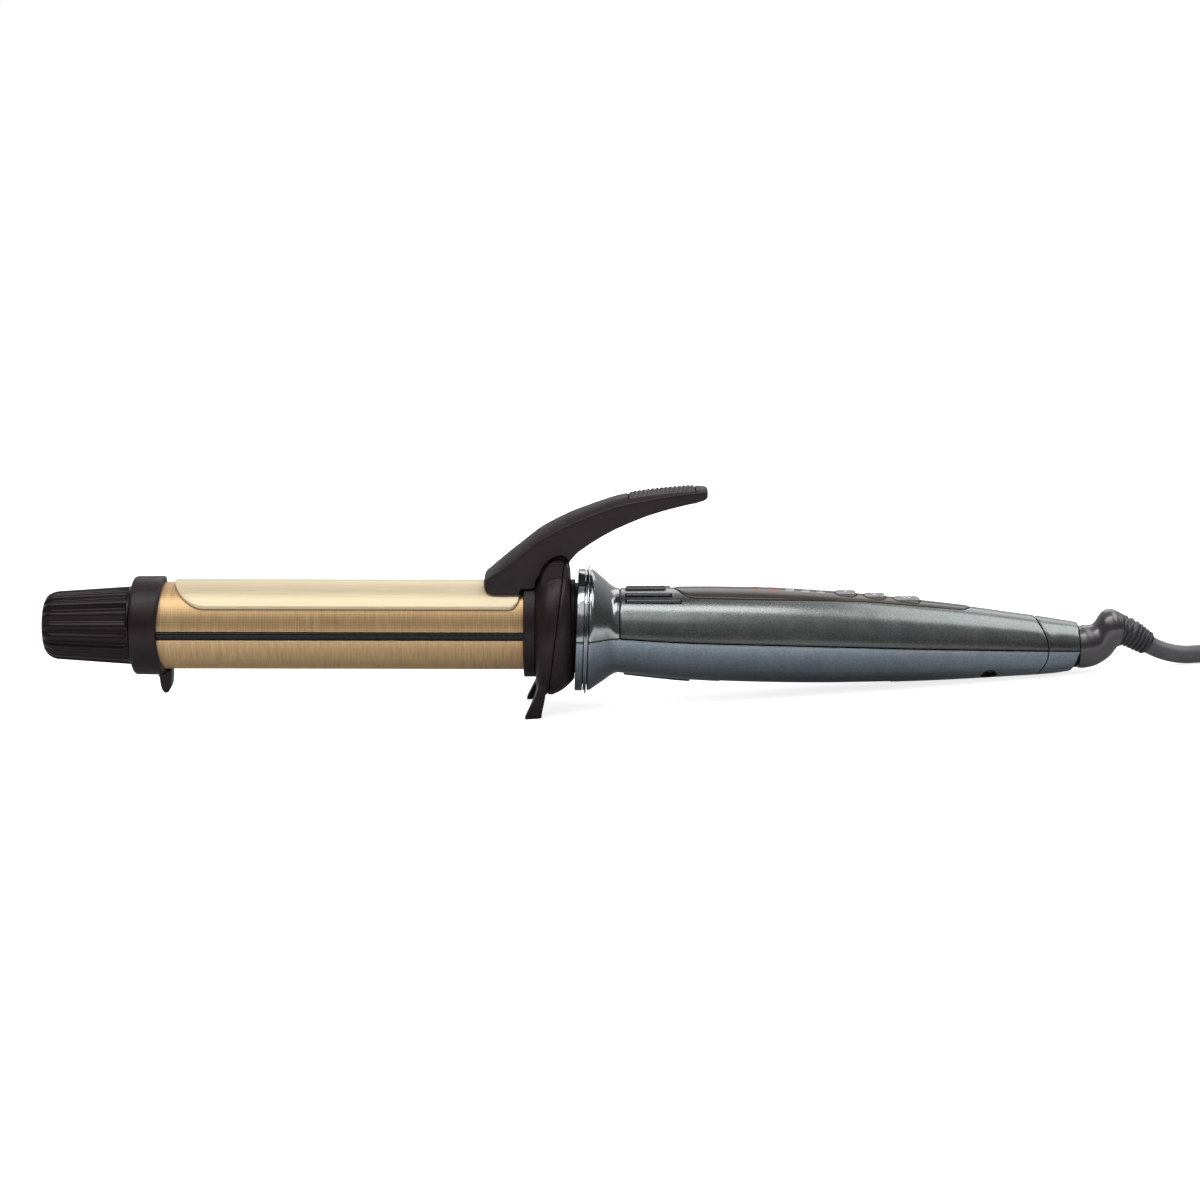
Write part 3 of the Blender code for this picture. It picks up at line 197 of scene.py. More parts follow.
def round_profile(points, radius, steps=5):
    """A closed or open (x, r) polyline with its marked corners rounded: points are (x, r, fillet)."""
    out = []
    n = len(points)
    for i, (x, r, f) in enumerate(points):
        p = Vector((x, r))
        if not f or i in (0, n - 1) and radius is None:
            out.append((x, r))
            continue
        a = Vector(points[i - 1][:2])
        b = Vector(points[(i + 1) % n][:2])
        d0, d1 = (a - p), (b - p)
        f0 = min(f, d0.length * 0.49, d1.length * 0.49)
        s, t = p + d0.normalized() * f0, p + d1.normalized() * f0
        for k in range(steps + 1):
            u = k / steps
            q = s * (1 - u) ** 2 + p * (2 * u * (1 - u)) + t * u * u
            out.append((q.x, q.y))
    return out


def strips(loops_out, loops_in):
    m = len(loops_out[0])
    verts, faces = [], []
    for o, i in zip(loops_out, loops_in):
        verts += list(o) + list(i)
    step = 2 * m
    for k in range(len(loops_out) - 1):
        a, b = k * step, (k + 1) * step
        for j in range(m - 1):
            faces.append((a + j, a + j + 1, b + j + 1, b + j))
            faces.append((a + m + j, b + m + j, b + m + j + 1, a + m + j + 1))
        faces.append((a, b, b + m, a + m))
        faces.append((a + m - 1, a + 2 * m - 1, b + 2 * m - 1, b + m - 1))
    for k in (0, len(loops_out) - 1):
        a = k * step
        for j in range(m - 1):
            faces.append((a + j, a + j + 1, a + m + j + 1, a + m + j))
    return verts, faces


def frames(points):
    """Tangent, normal and side at each point of a path, turned as little as possible."""
    out = []
    normal = None
    for k, p in enumerate(points):
        a = Vector(points[max(k - 1, 0)])
        b = Vector(points[min(k + 1, len(points) - 1)])
        d = (b - a).normalized()
        if normal is None:
            ref = Vector((0, 0, 1)) if abs(d.z) < 0.9 else Vector((1, 0, 0))
            normal = (ref - d * ref.dot(d)).normalized()
        else:
            normal = (normal - d * normal.dot(d)).normalized()
        out.append((d, normal, d.cross(normal)))
    return out


def tube(points, r, sides=16):
    rings = []
    for k, (p, (d, u, v)) in enumerate(zip(points, frames(points))):
        rr = r[k] if isinstance(r, (list, tuple)) else r
        rings.append([tuple(Vector(p) + rr * (math.cos(2 * math.pi * i / sides) * u + math.sin(2 * math.pi * i / sides) * v))
                      for i in range(sides)])
    return bridge(rings)


def mesh_object(name, verts, faces, sharp=35.0):
    mesh = bpy.data.meshes.new(name)
    mesh.from_pydata([(v[0] * MM, v[1] * MM, v[2] * MM) for v in verts], [], faces)
    bm = bmesh.new()
    bm.from_mesh(mesh)
    bmesh.ops.remove_doubles(bm, verts=bm.verts, dist=1e-8)
    bmesh.ops.recalc_face_normals(bm, faces=bm.faces)
    if bm.calc_volume(signed=True) < 0:
        bmesh.ops.reverse_faces(bm, faces=bm.faces)
    bm.to_mesh(mesh)
    bm.free()
    mesh.shade_smooth()
    if sharp:
        mesh.set_sharp_from_angle(angle=math.radians(sharp))
    obj = bpy.data.objects.new(name, mesh)
    bpy.context.scene.collection.objects.link(obj)
    return obj


def apply_modifiers(obj):
    bpy.context.view_layer.update()
    dg = bpy.context.evaluated_depsgraph_get()
    mesh = bpy.data.meshes.new_from_object(obj.evaluated_get(dg))
    old = obj.data
    obj.modifiers.clear()
    obj.data = mesh
    bpy.data.meshes.remove(old)


def carve(obj, operation, *geoms):
    """Boolean with each given (verts, faces), applied at once."""
    for verts, faces in geoms:
        tool = mesh_object(obj.name + "_tool", verts, faces)
        mod = obj.modifiers.new("cut", "BOOLEAN")
        mod.object = tool
        mod.operation = operation
        mod.solver = "EXACT"
        apply_modifiers(obj)
        bpy.data.objects.remove(tool, do_unlink=True)


def soften(obj, width, segments=2, angle=30.0):
    mod = obj.modifiers.new("edge", "BEVEL")
    mod.width = width * MM
    mod.segments = segments
    mod.limit_method = "ANGLE"
    mod.angle_limit = math.radians(angle)
    mod.use_clamp_overlap = True
    mod.harden_normals = False
    apply_modifiers(obj)
    obj.data.shade_smooth()
    obj.data.set_sharp_from_angle(angle=math.radians(40))


def remesh(obj, voxel, smoothing=3, factor=0.5):
    mod = obj.modifiers.new("remesh", "REMESH")
    mod.mode = "VOXEL"
    mod.voxel_size = voxel * MM
    mod.use_smooth_shade = True
    if smoothing:
        sm = obj.modifiers.new("smooth", "SMOOTH")
        sm.factor = factor
        sm.iterations = smoothing
    apply_modifiers(obj)
    obj.data.shade_smooth()


def place(obj, mat, body, replaces=(), local=True):
    """Puts a finished piece in the iron's frame, gives it its material and rides it on its body."""
    obj.data.materials.clear()
    obj.data.materials.append(mat)
    if local:
        obj.matrix_world = ROOT
    bpy.context.view_layer.update()
    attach(obj, body)
    if replaces:
        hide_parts(*replaces)
    return obj


# ------------------------------------------------------------------ materials
class Nodes:
    """A Principled material with small helpers for its node graph; lengths in mm in the piece's own frame."""

    def __init__(self, name, colour, roughness, metallic=0.0, **fixed):
        self.mat = bpy.data.materials.new(name)
        self.mat.use_nodes = True
        self.tree = self.mat.node_tree
        self.bsdf = self.tree.nodes["Principled BSDF"]
        self.bsdf.inputs["Base Color"].default_value = (*colour, 1.0)
        self.bsdf.inputs["Roughness"].default_value = roughness
        self.bsdf.inputs["Metallic"].default_value = metallic
        for key, value in fixed.items():
            self.bsdf.inputs[key.replace("_", " ")].default_value = value
        coord = self.node("ShaderNodeTexCoord")
        scale = self.node("ShaderNodeVectorMath", operation="SCALE")
        scale.inputs["Scale"].default_value = 1000.0
        self.link(coord.outputs["Object"], scale.inputs[0])
        self.mm = scale.outputs["Vector"]
        split = self.node("ShaderNodeSeparateXYZ")
        self.link(self.mm, split.inputs[0])
        self.x, self.y, self.z = split.outputs

    def node(self, kind, **props):
        n = self.tree.nodes.new(kind)
        for k, v in props.items():
            setattr(n, k, v)
        return n

    def link(self, a, b):
        self.tree.links.new(a, b)

    def put(self, socket, value):
        if isinstance(value, (int, float)):
            socket.default_value = value
        elif isinstance(value, tuple):
            socket.default_value = value if len(value) == 4 or len(socket.default_value) == 3 else (*value, 1.0)
        else:
            self.link(value, socket)

    def math(self, op, a, b=0.0, c=0.0, clamp=False):
        n = self.node("ShaderNodeMath", operation=op, use_clamp=clamp)
        self.put(n.inputs[0], a)
        self.put(n.inputs[1], b)
        if op in ("MULTIPLY_ADD", "SMOOTH_MIN", "COMPARE"):
            self.put(n.inputs[2], c)
        return n.outputs[0]

    def vector(self, x, y, z):
        n = self.node("ShaderNodeCombineXYZ")
        for s, v in zip(n.inputs, (x, y, z)):
            self.put(s, v)
        return n.outputs[0]

    def noise(self, vector, scale=1.0, detail=2.0, rough=0.5, distort=0.0):
        n = self.node("ShaderNodeTexNoise")
        self.link(vector, n.inputs["Vector"])
        n.inputs["Scale"].default_value = scale
        n.inputs["Detail"].default_value = detail
        n.inputs["Roughness"].default_value = rough
        n.inputs["Distortion"].default_value = distort
        return n.outputs["Fac"]

    def voronoi(self, vector, scale=1.0, feature="F1", out="Distance"):
        n = self.node("ShaderNodeTexVoronoi", feature=feature)
        self.link(vector, n.inputs["Vector"])
        n.inputs["Scale"].default_value = scale
        return n.outputs[out]

    def remap(self, value, a, b, c, d, kind="LINEAR"):
        n = self.node("ShaderNodeMapRange", interpolation_type=kind)
        self.put(n.inputs[0], value)
        for s, v in zip(n.inputs[1:5], (a, b, c, d)):
            s.default_value = v
        return n.outputs[0]

    def mix(self, fac, a, b, blend="MIX"):
        n = self.node("ShaderNodeMix", data_type="RGBA", blend_type=blend)
        self.put(n.inputs[0], fac)
        self.put(n.inputs[6], a)
        self.put(n.inputs[7], b)
        return n.outputs[2]

    def colour(self, value):
        self.link(value, self.bsdf.inputs["Base Color"])

    def roughness(self, value):
        self.link(value, self.bsdf.inputs["Roughness"])

    def bump(self, height, distance, strength=1.0, after=None):
        """distance is the height, in mm, of a full step of the pattern."""
        n = self.node("ShaderNodeBump")
        n.inputs["Strength"].default_value = strength
        n.inputs["Distance"].default_value = distance * MM
        self.link(height, n.inputs["Height"])
        if after is not None:
            self.link(after, n.inputs["Normal"])
        self.link(n.outputs["Normal"], self.bsdf.inputs["Normal"])
        return n.outputs["Normal"]

    def angle(self, zc=0.0):
        return self.math("ARCTAN2", self.y, self.math("SUBTRACT", self.z, zc))


def plastic_matt(name, colour, roughness=0.5, grain=0.012, **fixed):
    m = Nodes(name, colour, roughness, 0.0, **fixed)
    fine = m.noise(m.mm, 3.2, 3.0, 0.6)
    broad = m.noise(m.mm, 0.12, 3.0, 0.6)
    scuff = m.noise(m.mm, 0.9, 4.0, 0.7)
    m.colour(m.mix(m.remap(broad, 0.35, 0.7, 0.0, 1.0), tuple(c * 0.88 for c in colour), tuple(min(1.0, c * 1.18 + 0.001) for c in colour)))
    m.roughness(m.remap(scuff, 0.3, 0.7, roughness - 0.05, roughness + 0.07))
    m.bump(fine, grain)
    return m.mat


def plastic_gloss(name, colour, roughness=0.1, wave=0.01, **fixed):
    m = Nodes(name, colour, roughness, 0.0, **fixed)
    broad = m.noise(m.mm, 0.10, 2.0, 0.5)
    smear = m.noise(m.mm, 0.6, 4.0, 0.65)
    m.colour(m.mix(m.remap(broad, 0.35, 0.7, 0.0, 1.0), tuple(c * 0.9 for c in colour), tuple(min(1.0, c * 1.12) for c in colour)))
    m.roughness(m.remap(smear, 0.35, 0.75, roughness, roughness + 0.06))
    m.bump(broad, wave)
    return m.mat


def flake_paint(name, dark, light, roughness, metallic, flake=0.5, painted_light_and_shade=None, **fixed):
    """Metallic lacquer: fine bright flakes under a clear coat.  painted_light_and_shade, when given, multiplies the
    colour by painted light and painted shade set by height over the shells' parting line.
    """
    m = Nodes(name, dark, roughness, metallic, **fixed)
    cells = m.voronoi(m.mm, 4.2, out="Color")
    sep = m.node("ShaderNodeSeparateColor")
    m.link(cells, sep.inputs[0])
    cloud = m.noise(m.mm, 0.16, 4.0, 0.65)
    speck = m.math("MULTIPLY", m.remap(sep.outputs[0], 0.35, 1.0, 0.0, 1.0), flake)
    amount = m.math("ADD", m.remap(cloud, 0.3, 0.7, 0.20, 0.30), m.math("MULTIPLY", speck, 0.36), clamp=True)
    colour = m.mix(amount, dark, light)
    if painted_light_and_shade:
        # painted light and shade: height over the parting line, its slope fitted along the handle, sets a tone that
        # multiplies the colour
        height = m.math("ADD", m.z, m.math("ADD", m.math("MULTIPLY", m.x, 0.0343), 0.78))
        painted_light_shade_tone = m.remap(height, *painted_light_and_shade)
        colour = m.mix(1.0, colour, m.vector(painted_light_shade_tone, painted_light_shade_tone, painted_light_shade_tone), "MULTIPLY")
    m.colour(colour)
    m.roughness(m.math("ADD", m.remap(sep.outputs[1], 0.0, 1.0, roughness - 0.03, roughness + 0.03), m.remap(cloud, 0.3, 0.7, -0.02, 0.03)))
    m.bump(sep.outputs[2], 0.0035, 0.4)
    return m.mat


def barrel_gold():
    m = Nodes("barrel_gold_brushed", (0.56, 0.39, 0.22), 0.36, 0.72, Anisotropic=0.35)
    a = m.angle()
    # turned streaks run round the barrel, so they change quickly along X and slowly round it
    streak_v = m.vector(m.math("MULTIPLY", m.x, 3.1), m.math("MULTIPLY", m.math("SINE", a), 1.6), m.math("MULTIPLY", m.math("COSINE", a), 1.6))
    streak = m.noise(streak_v, 1.0, 4.0, 0.7)
    broad_v = m.vector(m.math("MULTIPLY", m.x, 0.42), m.math("SINE", a), m.math("COSINE", a))
    broad = m.noise(broad_v, 1.0, 3.0, 0.6)
    # fine cross weave on the band over the inlay strips
    s = m.math("MULTIPLY", a, BARREL_R)
    k = 2 * math.pi / 1.6
    weave = m.math("MULTIPLY", m.math("SINE", m.math("MULTIPLY", m.math("ADD", m.x, s), k)),
                   m.math("SINE", m.math("MULTIPLY", m.math("SUBTRACT", m.x, s), k)))
    upper = m.remap(m.z, -0.4, 0.2, 0.0, 1.0)
    weave_amount = m.math("MULTIPLY", upper, m.remap(weave, -1.0, 1.0, 0.0, 1.0))
    base = m.mix(m.remap(streak, 0.3, 0.7, 0.0, 1.0), (0.44, 0.272, 0.122), (0.70, 0.50, 0.275))
    base = m.mix(m.remap(broad, 0.35, 0.65, 0.0, 0.45), base, (0.50, 0.345, 0.195))
    base = m.mix(m.math("MULTIPLY", weave_amount, 0.5), base, (0.30, 0.175, 0.07))
    m.colour(base)
    m.roughness(m.remap(streak, 0.3, 0.7, 0.38, 0.52))
    height = m.math("ADD", m.math("MULTIPLY", streak, 0.6), m.math("MULTIPLY", weave_amount, 0.5))
    m.bump(height, 0.02)
    return m.mat


def champagne():
    m = Nodes("clip_champagne_satin", (0.66, 0.55, 0.37), 0.42, 0.3)
    a = m.angle()
    v = m.vector(m.math("MULTIPLY", m.x, 0.05), m.math("MULTIPLY", a, 22.0), 0.0)
    grain = m.noise(v, 1.0, 4.0, 0.65)
    cloud = m.noise(m.mm, 0.07, 3.0, 0.55)
    base = m.mix(m.remap(grain, 0.3, 0.7, 0.0, 1.0), (0.54, 0.44, 0.275), (0.645, 0.545, 0.37))
    base = m.mix(m.remap(cloud, 0.35, 0.65, 0.0, 0.35), base, (0.57, 0.455, 0.31))
    m.colour(base)
    m.roughness(m.remap(grain, 0.3, 0.7, 0.38, 0.48))
    m.bump(grain, 0.004)
    return m.mat


def metal(name, colour, roughness=0.28, brushed=6.0):
    m = Nodes(name, colour, roughness, 1.0)
    v = m.vector(m.math("MULTIPLY", m.x, 0.4), m.math("MULTIPLY", m.y, brushed), m.math("MULTIPLY", m.z, brushed))
    g = m.noise(v, 1.0, 3.0, 0.6)
    m.colour(m.mix(m.remap(g, 0.3, 0.7, 0.0, 1.0), tuple(c * 0.86 for c in colour), tuple(min(1.0, c * 1.08) for c in colour)))
    m.roughness(m.remap(g, 0.3, 0.7, roughness - 0.06, roughness + 0.1))
    m.bump(g, 0.004)
    return m.mat


AUBERGINE = plastic_matt("plastic_aubergine_matt", (0.0135, 0.0066, 0.0084), 0.42, 0.008, Specular_IOR_Level=0.23)
AUBERGINE_GLOSS = plastic_gloss("plastic_aubergine_gloss", (0.0100, 0.0048, 0.0062), 0.30, 0.0, Specular_IOR_Level=0.18)
GOLD = barrel_gold()
CREAM = champagne()
# painted shade: the upper shell's colour darkens towards the parting line
GUNMETAL = flake_paint("lacquer_gunmetal", (0.050, 0.058, 0.056), (0.36, 0.385, 0.378), 0.25, 0.76, 0.3, (0.2, 3.4, 0.22, 1.0), Coat_Weight=0.3, Coat_Roughness=0.14)
GUNMETAL_GLOSS = flake_paint("lacquer_gunmetal_gloss", (0.13, 0.145, 0.142), (0.46, 0.49, 0.485), 0.14, 0.92, 0.1, Coat_Weight=0.6, Coat_Roughness=0.04)
# painted light near the parting line and painted shade towards the bottom of the lower shell
BLUEGREY = flake_paint("lacquer_blue_grey", (0.058, 0.073, 0.094), (0.36, 0.412, 0.465), 0.34, 0.7, 0.4, (-9.0, -0.8, 0.75, 1.45), Coat_Weight=0.2, Coat_Roughness=0.2)
PANEL = plastic_gloss("panel_smoke", (0.045, 0.036, 0.030), 0.14, Specular_IOR_Level=0.22, Coat_Weight=0.1, Coat_Roughness=0.06)
NECK_BLACK = plastic_matt("plastic_neck", (0.008, 0.006, 0.007), 0.5, 0.004, Specular_IOR_Level=0.15)
BLACK_GLOSS = plastic_gloss("plastic_black_gloss", (0.010, 0.010, 0.012), 0.10, Coat_Weight=0.5, Coat_Roughness=0.06)
PAD_RUBBER = plastic_matt("pad_rubber", (0.030, 0.021, 0.025), 0.4, 0.006, Specular_IOR_Level=0.4)
RIB_TOP = metal("rib_gloss", (0.07, 0.075, 0.075), 0.16, 2.0)
RIB_LOW = plastic_gloss("rib_lilac", (0.045, 0.040, 0.055), 0.25)
SCREW_DARK = metal("screw_dark", (0.06, 0.06, 0.065), 0.35, 4.0)
INLAY = plastic_gloss("inlay_black", (0.006, 0.006, 0.009), 0.25, Specular_IOR_Level=0.2)
ELBOW_MAT = plastic_gloss("plastic_swivel", (0.017, 0.013, 0.016), 0.30, 0.003, Specular_IOR_Level=1.0, Coat_Weight=0.4, Coat_Roughness=0.25)
RUBBER = plastic_matt("rubber_dark", (0.028, 0.027, 0.030), 0.42, 0.02)
CORD_MAT = plastic_matt("vinyl_grey", (0.085, 0.085, 0.092), 0.42, 0.015)
STEEL = metal("steel_plain", (0.62, 0.62, 0.64))
CHROME = metal("trim_bright", (0.24, 0.25, 0.26), 0.16, 2.0)
BRASS = metal("brass_plain", (0.78, 0.57, 0.25))
ALUMINIUM = metal("aluminium_plain", (0.74, 0.74, 0.76), 0.36)
CERAMIC = plastic_matt("ceramic_white", (0.78, 0.76, 0.70), 0.55, 0.02)
BOARD = plastic_matt("board_green", (0.02, 0.13, 0.05), 0.4, 0.02)


def print_mark(name, colour, glow=0.0):
    m = Nodes(name, colour, 0.35, 0.0)
    n = m.noise(m.mm, 2.0, 2.0, 0.5)
    m.colour(m.mix(m.remap(n, 0.3, 0.7, 0.0, 1.0), tuple(c * 0.85 for c in colour), colour))
    if glow:
        m.bsdf.inputs["Emission Color"].default_value = (*colour, 1.0)
        m.bsdf.inputs["Emission Strength"].default_value = glow
    return m.mat


BUTTON_MAT = plastic_gloss("button_satin", (0.13, 0.125, 0.125), 0.13, 0.002, Coat_Weight=0.7, Coat_Roughness=0.05)
CAPACITOR = plastic_gloss("capacitor_amber", (0.45, 0.26, 0.03), 0.3)
RED_MARK = print_mark("mark_red", (0.50, 0.03, 0.05), 0.2)
WHITE_MARK = print_mark("mark_pale", (0.72, 0.72, 0.74))

# ------------------------------------------------------------------ mains lead (world axes, mm)
pitch = math.radians(PITCH)


def world(x, z):
    return (x * math.cos(pitch) + z * math.sin(pitch) + SHIFT, -x * math.sin(pitch) + z * math.cos(pitch) + LIFT)


drop = math.radians(RELIEF_DROP)
EXIT_X, EXIT_Z = world(RELIEF_X + (RELIEF_LEN - 0.396) * math.cos(drop), RELIEF_Z - (RELIEF_LEN - 0.396) * math.sin(drop))
DROP = drop + pitch
start_gap = 0.05
lx, lz = EXIT_X + start_gap * math.cos(DROP), EXIT_Z - start_gap * math.sin(DROP)
bend_r = (lz - CORD_R - 0.02) / (1 - math.cos(DROP))
route = []
for k in range(13):
    a = DROP * (1 - k / 12)
    route.append(Vector((lx + bend_r * (math.sin(DROP) - math.sin(a)), 0.0, lz - bend_r * (math.cos(a) - math.cos(DROP)))))
x_flat = route[-1].x
TIE_X = 306.0
hank_cx0 = 224.75
hank_cx1 = hank_cx0 + HANK_RUN
STEP = CORD_D + 0.03
CY = 12.0
PLUG_X, PLUG_Y, PLUG_Z = 248.0, CY - 16.0, 1.0 + HANK_H + 0.3 + 7.0
INNER_R = HANK_R - STEP
SLOTS = [(HANK_R, 0), (INNER_R, 0), (INNER_R, 1), (HANK_R, 1), (HANK_R, 2), (INNER_R, 2), (INNER_R, 3)]
mid_x = (hank_cx0 + hank_cx1) / 2


def seat(lap):
    r, layer = SLOTS[lap]
    return r, CORD_R + 0.05 + layer * STEP


def lap_points(lap, step=3.5):
    """Near run, right-hand turn, far run and left-hand turn of one lap.  On the far run each lap moves over
    to the next lap's place, the upper laps first, so that no two ever share a place."""
    r0, z0 = seat(lap)
    r1, z1 = seat(lap + 1)
    d0 = 10.0 * (5 - lap) + 16.0
    pts = []

    def place_at(d):
        b = smooth(d0, d0 + 30.0, d)
        return r0 + (r1 - r0) * b, z0 + (z1 - z0) * b

    half = HANK_RUN / 2
    n = int(half / step)
    for i in range(n):
        pts.append(Vector((mid_x + half * i / n, CY - r0, z0)))
    n = int(math.pi * r0 / step)
    for i in range(n):
        a = -math.pi / 2 + math.pi * i / n
        pts.append(Vector((hank_cx1 + r0 * math.cos(a), CY + r0 * math.sin(a), z0)))
    n = int(HANK_RUN / step)
    for i in range(n):
        d = HANK_RUN * i / n
        r, z = place_at(d)
        pts.append(Vector((hank_cx1 - d, CY + r, z)))
    n = int(math.pi * r1 / step)
    for i in range(n):
        a = math.pi / 2 + math.pi * i / n
        r, z = place_at(HANK_RUN + (a - math.pi / 2) * r1)
        if lap == 5:
            z += (PLUG_Z - z) * smooth(0.0, 1.0, i / n)
        pts.append(Vector((hank_cx0 + r * math.cos(a), CY + r * math.sin(a), z)))
    if lap < 5:
        n = int(half / step)
        for i in range(n):
            pts.append(Vector((hank_cx0 + half * i / n, CY - r1, z1)))
    else:
        pts.append(Vector((hank_cx0, CY - r1, PLUG_Z)))
        pts.append(Vector((PLUG_X - 22.06, CY - r1, PLUG_Z)))
    return pts


run_y = CY - HANK_R
SWEEP_R = 22.3
turn = math.acos(1 + run_y / (2 * SWEEP_R))
for k in range(1, 7):
    a = turn * k / 6
    route.append(Vector((x_flat + SWEEP_R * math.sin(a), -SWEEP_R * (1 - math.cos(a)), CORD_R + 0.02 + 0.005 * k)))
for k in range(1, 7):
    a = turn * (1 - k / 6)
    route.append(Vector((x_flat + SWEEP_R * (2 * math.sin(turn) - math.sin(a)), run_y + SWEEP_R * (1 - math.cos(a)), CORD_R + 0.05)))
x_run = route[-1].x
n_in = int((mid_x - x_run) / 6.0)
for k in range(1, n_in):
    route.append(Vector((x_run + (mid_x - x_run) * k / n_in, run_y, CORD_R + 0.05)))
for lap in range(6):
    route += lap_points(lap)
# the strap lifts the bundle a little where it passes under it
for p in route:
    if p.x > 260 and p.z < 18:
        p.z += 0.83 * math.exp(-((p.x - TIE_X) / 16.0) ** 4)


def catmull(points, per):
    out = []
    n = len(points)
    for i in range(n - 1):
        p0, p1, p2, p3 = points[max(i - 1, 0)], points[i], points[i + 1], points[min(i + 2, n - 1)]
        for k in range(per):
            t = k / per
            out.append(0.5 * ((2 * p1) + (p2 - p0) * t + (2 * p0 - 5 * p1 + 4 * p2 - p3) * t * t
                              + (3 * p1 - p0 - 3 * p2 + p3) * t**3))
    out.append(points[-1])
    return out


cord_path = catmull(route, 2)
cord_length = sum((b - a).length for a, b in zip(cord_path, cord_path[1:]))
print("cord length mm", round(cord_length, 1), "points", len(cord_path))
cord = mesh_object("mains_cord", *tube([tuple(p) for p in cord_path], CORD_R, 14), sharp=60)
cord.data.materials.append(CORD_MAT)
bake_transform(cord)
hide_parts("cord_lead", "cord_hank", "cord_tail")


# plug on top of the near run, blades towards +X
def rounded_ring(x, hw, hh, r, y=PLUG_Y, z=PLUG_Z, k=8):
    return [(x, y + a, z + b) for a, b in rounded_rect(-hw, hw, -hh, hh, r, k)]


PLUG_ROWS = [(-22.0, 3.4, 3.4, 3.35), (-21.6, 3.75, 3.75, 3.7), (-12.0, 4.1, 4.0, 3.95), (-3.0, 4.8, 4.6, 4.3),
             (0.0, 6.8, 5.2, 4.6), (2.5, 8.8, 5.6, 4.6), (8.0, 10.0, 6.0, 4.6), (16.0, 9.6, 5.8, 4.4),
             (24.0, 11.6, 6.8, 4.4), (27.5, 12.0, 7.0, 4.2), (29.2, 12.0, 7.0, 4.2), (30.0, 11.2, 6.2, 3.6)]
rows = []
for x in linspace(-22.0, 30.0, 105):
    hw, hh, rr = (table(PLUG_ROWS, x, c) for c in (1, 2, 3))
    groove = 0.0
    if -20.0 < x < -4.0:
        groove = 0.55 * max(0.0, math.sin(2 * math.pi * (x + 20.0) / 3.2)) ** 0.6
    if 9.0 < x < 22.5:
        groove = 0.4 * max(0.0, math.sin(2 * math.pi * (x - 9.0) / 2.7)) ** 0.7
    hw, hh = hw - groove, hh - groove
    y = PLUG_Y - 0.5 * (1 - smooth(-22.0, 0.0, x))
    rows.append(rounded_ring(PLUG_X + x, hw, hh, min(rr, hw - 0.05, hh - 0.05), y))
plug = mesh_object("plug_shell", *bridge(rows))
carve(plug, "DIFFERENCE", *[box(PLUG_X + 27.0, PLUG_X + 40.0, y - 0.95, y + 0.95, PLUG_Z - 3.4, PLUG_Z + 3.4)
                            for y in (PLUG_Y - 6.35, PLUG_Y + 6.35)])
plug.data.shade_smooth()
plug.data.set_sharp_from_angle(angle=math.radians(40))
place(plug, RUBBER, "iron", ("plug_body",), local=False)
for tag, y in (("left", PLUG_Y - 6.35), ("right", PLUG_Y + 6.35)):
    outline = [(PLUG_X + 26.6, -3.15), (PLUG_X + 45.2, -3.15), (PLUG_X + 47.0, -2.2), (PLUG_X + 47.0, 2.2),
               (PLUG_X + 45.2, 3.15), (PLUG_X + 26.6, 3.15)]
    blade = mesh_object("plug_pin_" + tag, *prism_y([(x, PLUG_Z + z) for x, z in outline], y - 0.75, y + 0.75))
    carve(blade, "DIFFERENCE", prism_y(circle(PLUG_X + 42.0, PLUG_Z, 1.45), y - 2, y + 2))
    soften(blade, 0.18)
    place(blade, BRASS, "iron", ("plug_blade_" + tag,), local=False)

# strap: hook-and-loop band with an overlapped end, standing clear of the cord
tie_rows = []
TIE_X0, TIE_X1 = 300.0, 312.0
out_y = HANK_R + CORD_R
for x, grow in ((TIE_X0, -0.25), (TIE_X0 + 0.35, 0.0), (TIE_X1 - 0.35, 0.0), (TIE_X1, -0.25)):
    tie_rows.append([(x, y, z) for y, z in rounded_rect(CY - out_y - 1.25 - grow, CY + out_y + 1.25 + grow, 0.06 - grow, 18.45 + grow, 2.2, 8)])
for x in (TIE_X1, TIE_X0):
    tie_rows.append([(x, y, z) for y, z in rounded_rect(CY - out_y - 0.5, CY + out_y + 0.5, 0.6, 17.85, 1.5, 8)])
tie = mesh_object("cord_strap", *bridge(tie_rows, closed=True))
place(tie, RUBBER, "iron", ("cord_tie",), local=False)
flap = mesh_object("cord_strap_end", *bridge([[(x, y, z) for x, y in rounded_rect(TIE_X0 + 0.4, TIE_X1 - 0.4, 8.0, 40.0, 2.4, 6)]
                                              for z in (18.3, 18.95)]))
soften(flap, 0.2)
place(flap, RUBBER, "iron", (), local=False)

# ------------------------------------------------------------------ tip
FLUTES = 18


def fluted(x, r, depth, n=FLUTES * 12):
    pts = []
    for i in range(n):
        a = 2 * math.pi * i / n
        w = 0.5 - 0.5 * math.cos(FLUTES * a)
        rr = r - depth * w ** 1.5
        pts.append((x, rr * math.sin(a), rr * math.cos(a)))
    return pts


N_TIP = FLUTES * 12
TIP = [(-159.0, 3.0, 0.0), (-159.0, 5.6, 0.0), (-158.87, 6.9, 0.1), (-158.55, 7.9, 0.3), (-158.0, 8.75, 0.55), (-157.2, 9.4, 0.8),
       (-156.2, 9.95, 0.85), (-155.0, 10.3, 0.9), (-152.0, 10.5, 0.9), (-144.0, 11.05, 0.9), (-136.0, 11.6, 0.9),
       (-133.6, 11.75, 0.85), (-133.3, 11.8, 0.65), (-133.1, 11.8, 0.3), (-133.0, 11.85, 0.0), (-132.5, 11.85, 0.0),
       (-132.35, 11.65, 0.0)]
rings = [fluted(x, r, d) for x, r, d in TIP] + [around(-132.3, 6.0, 0, N_TIP), around(-144.0, 6.0, 0, N_TIP)]
place(mesh_object("tip_cap_shell", *bridge(rings), sharp=50), AUBERGINE_GLOSS, "iron", ("tip_cap",))

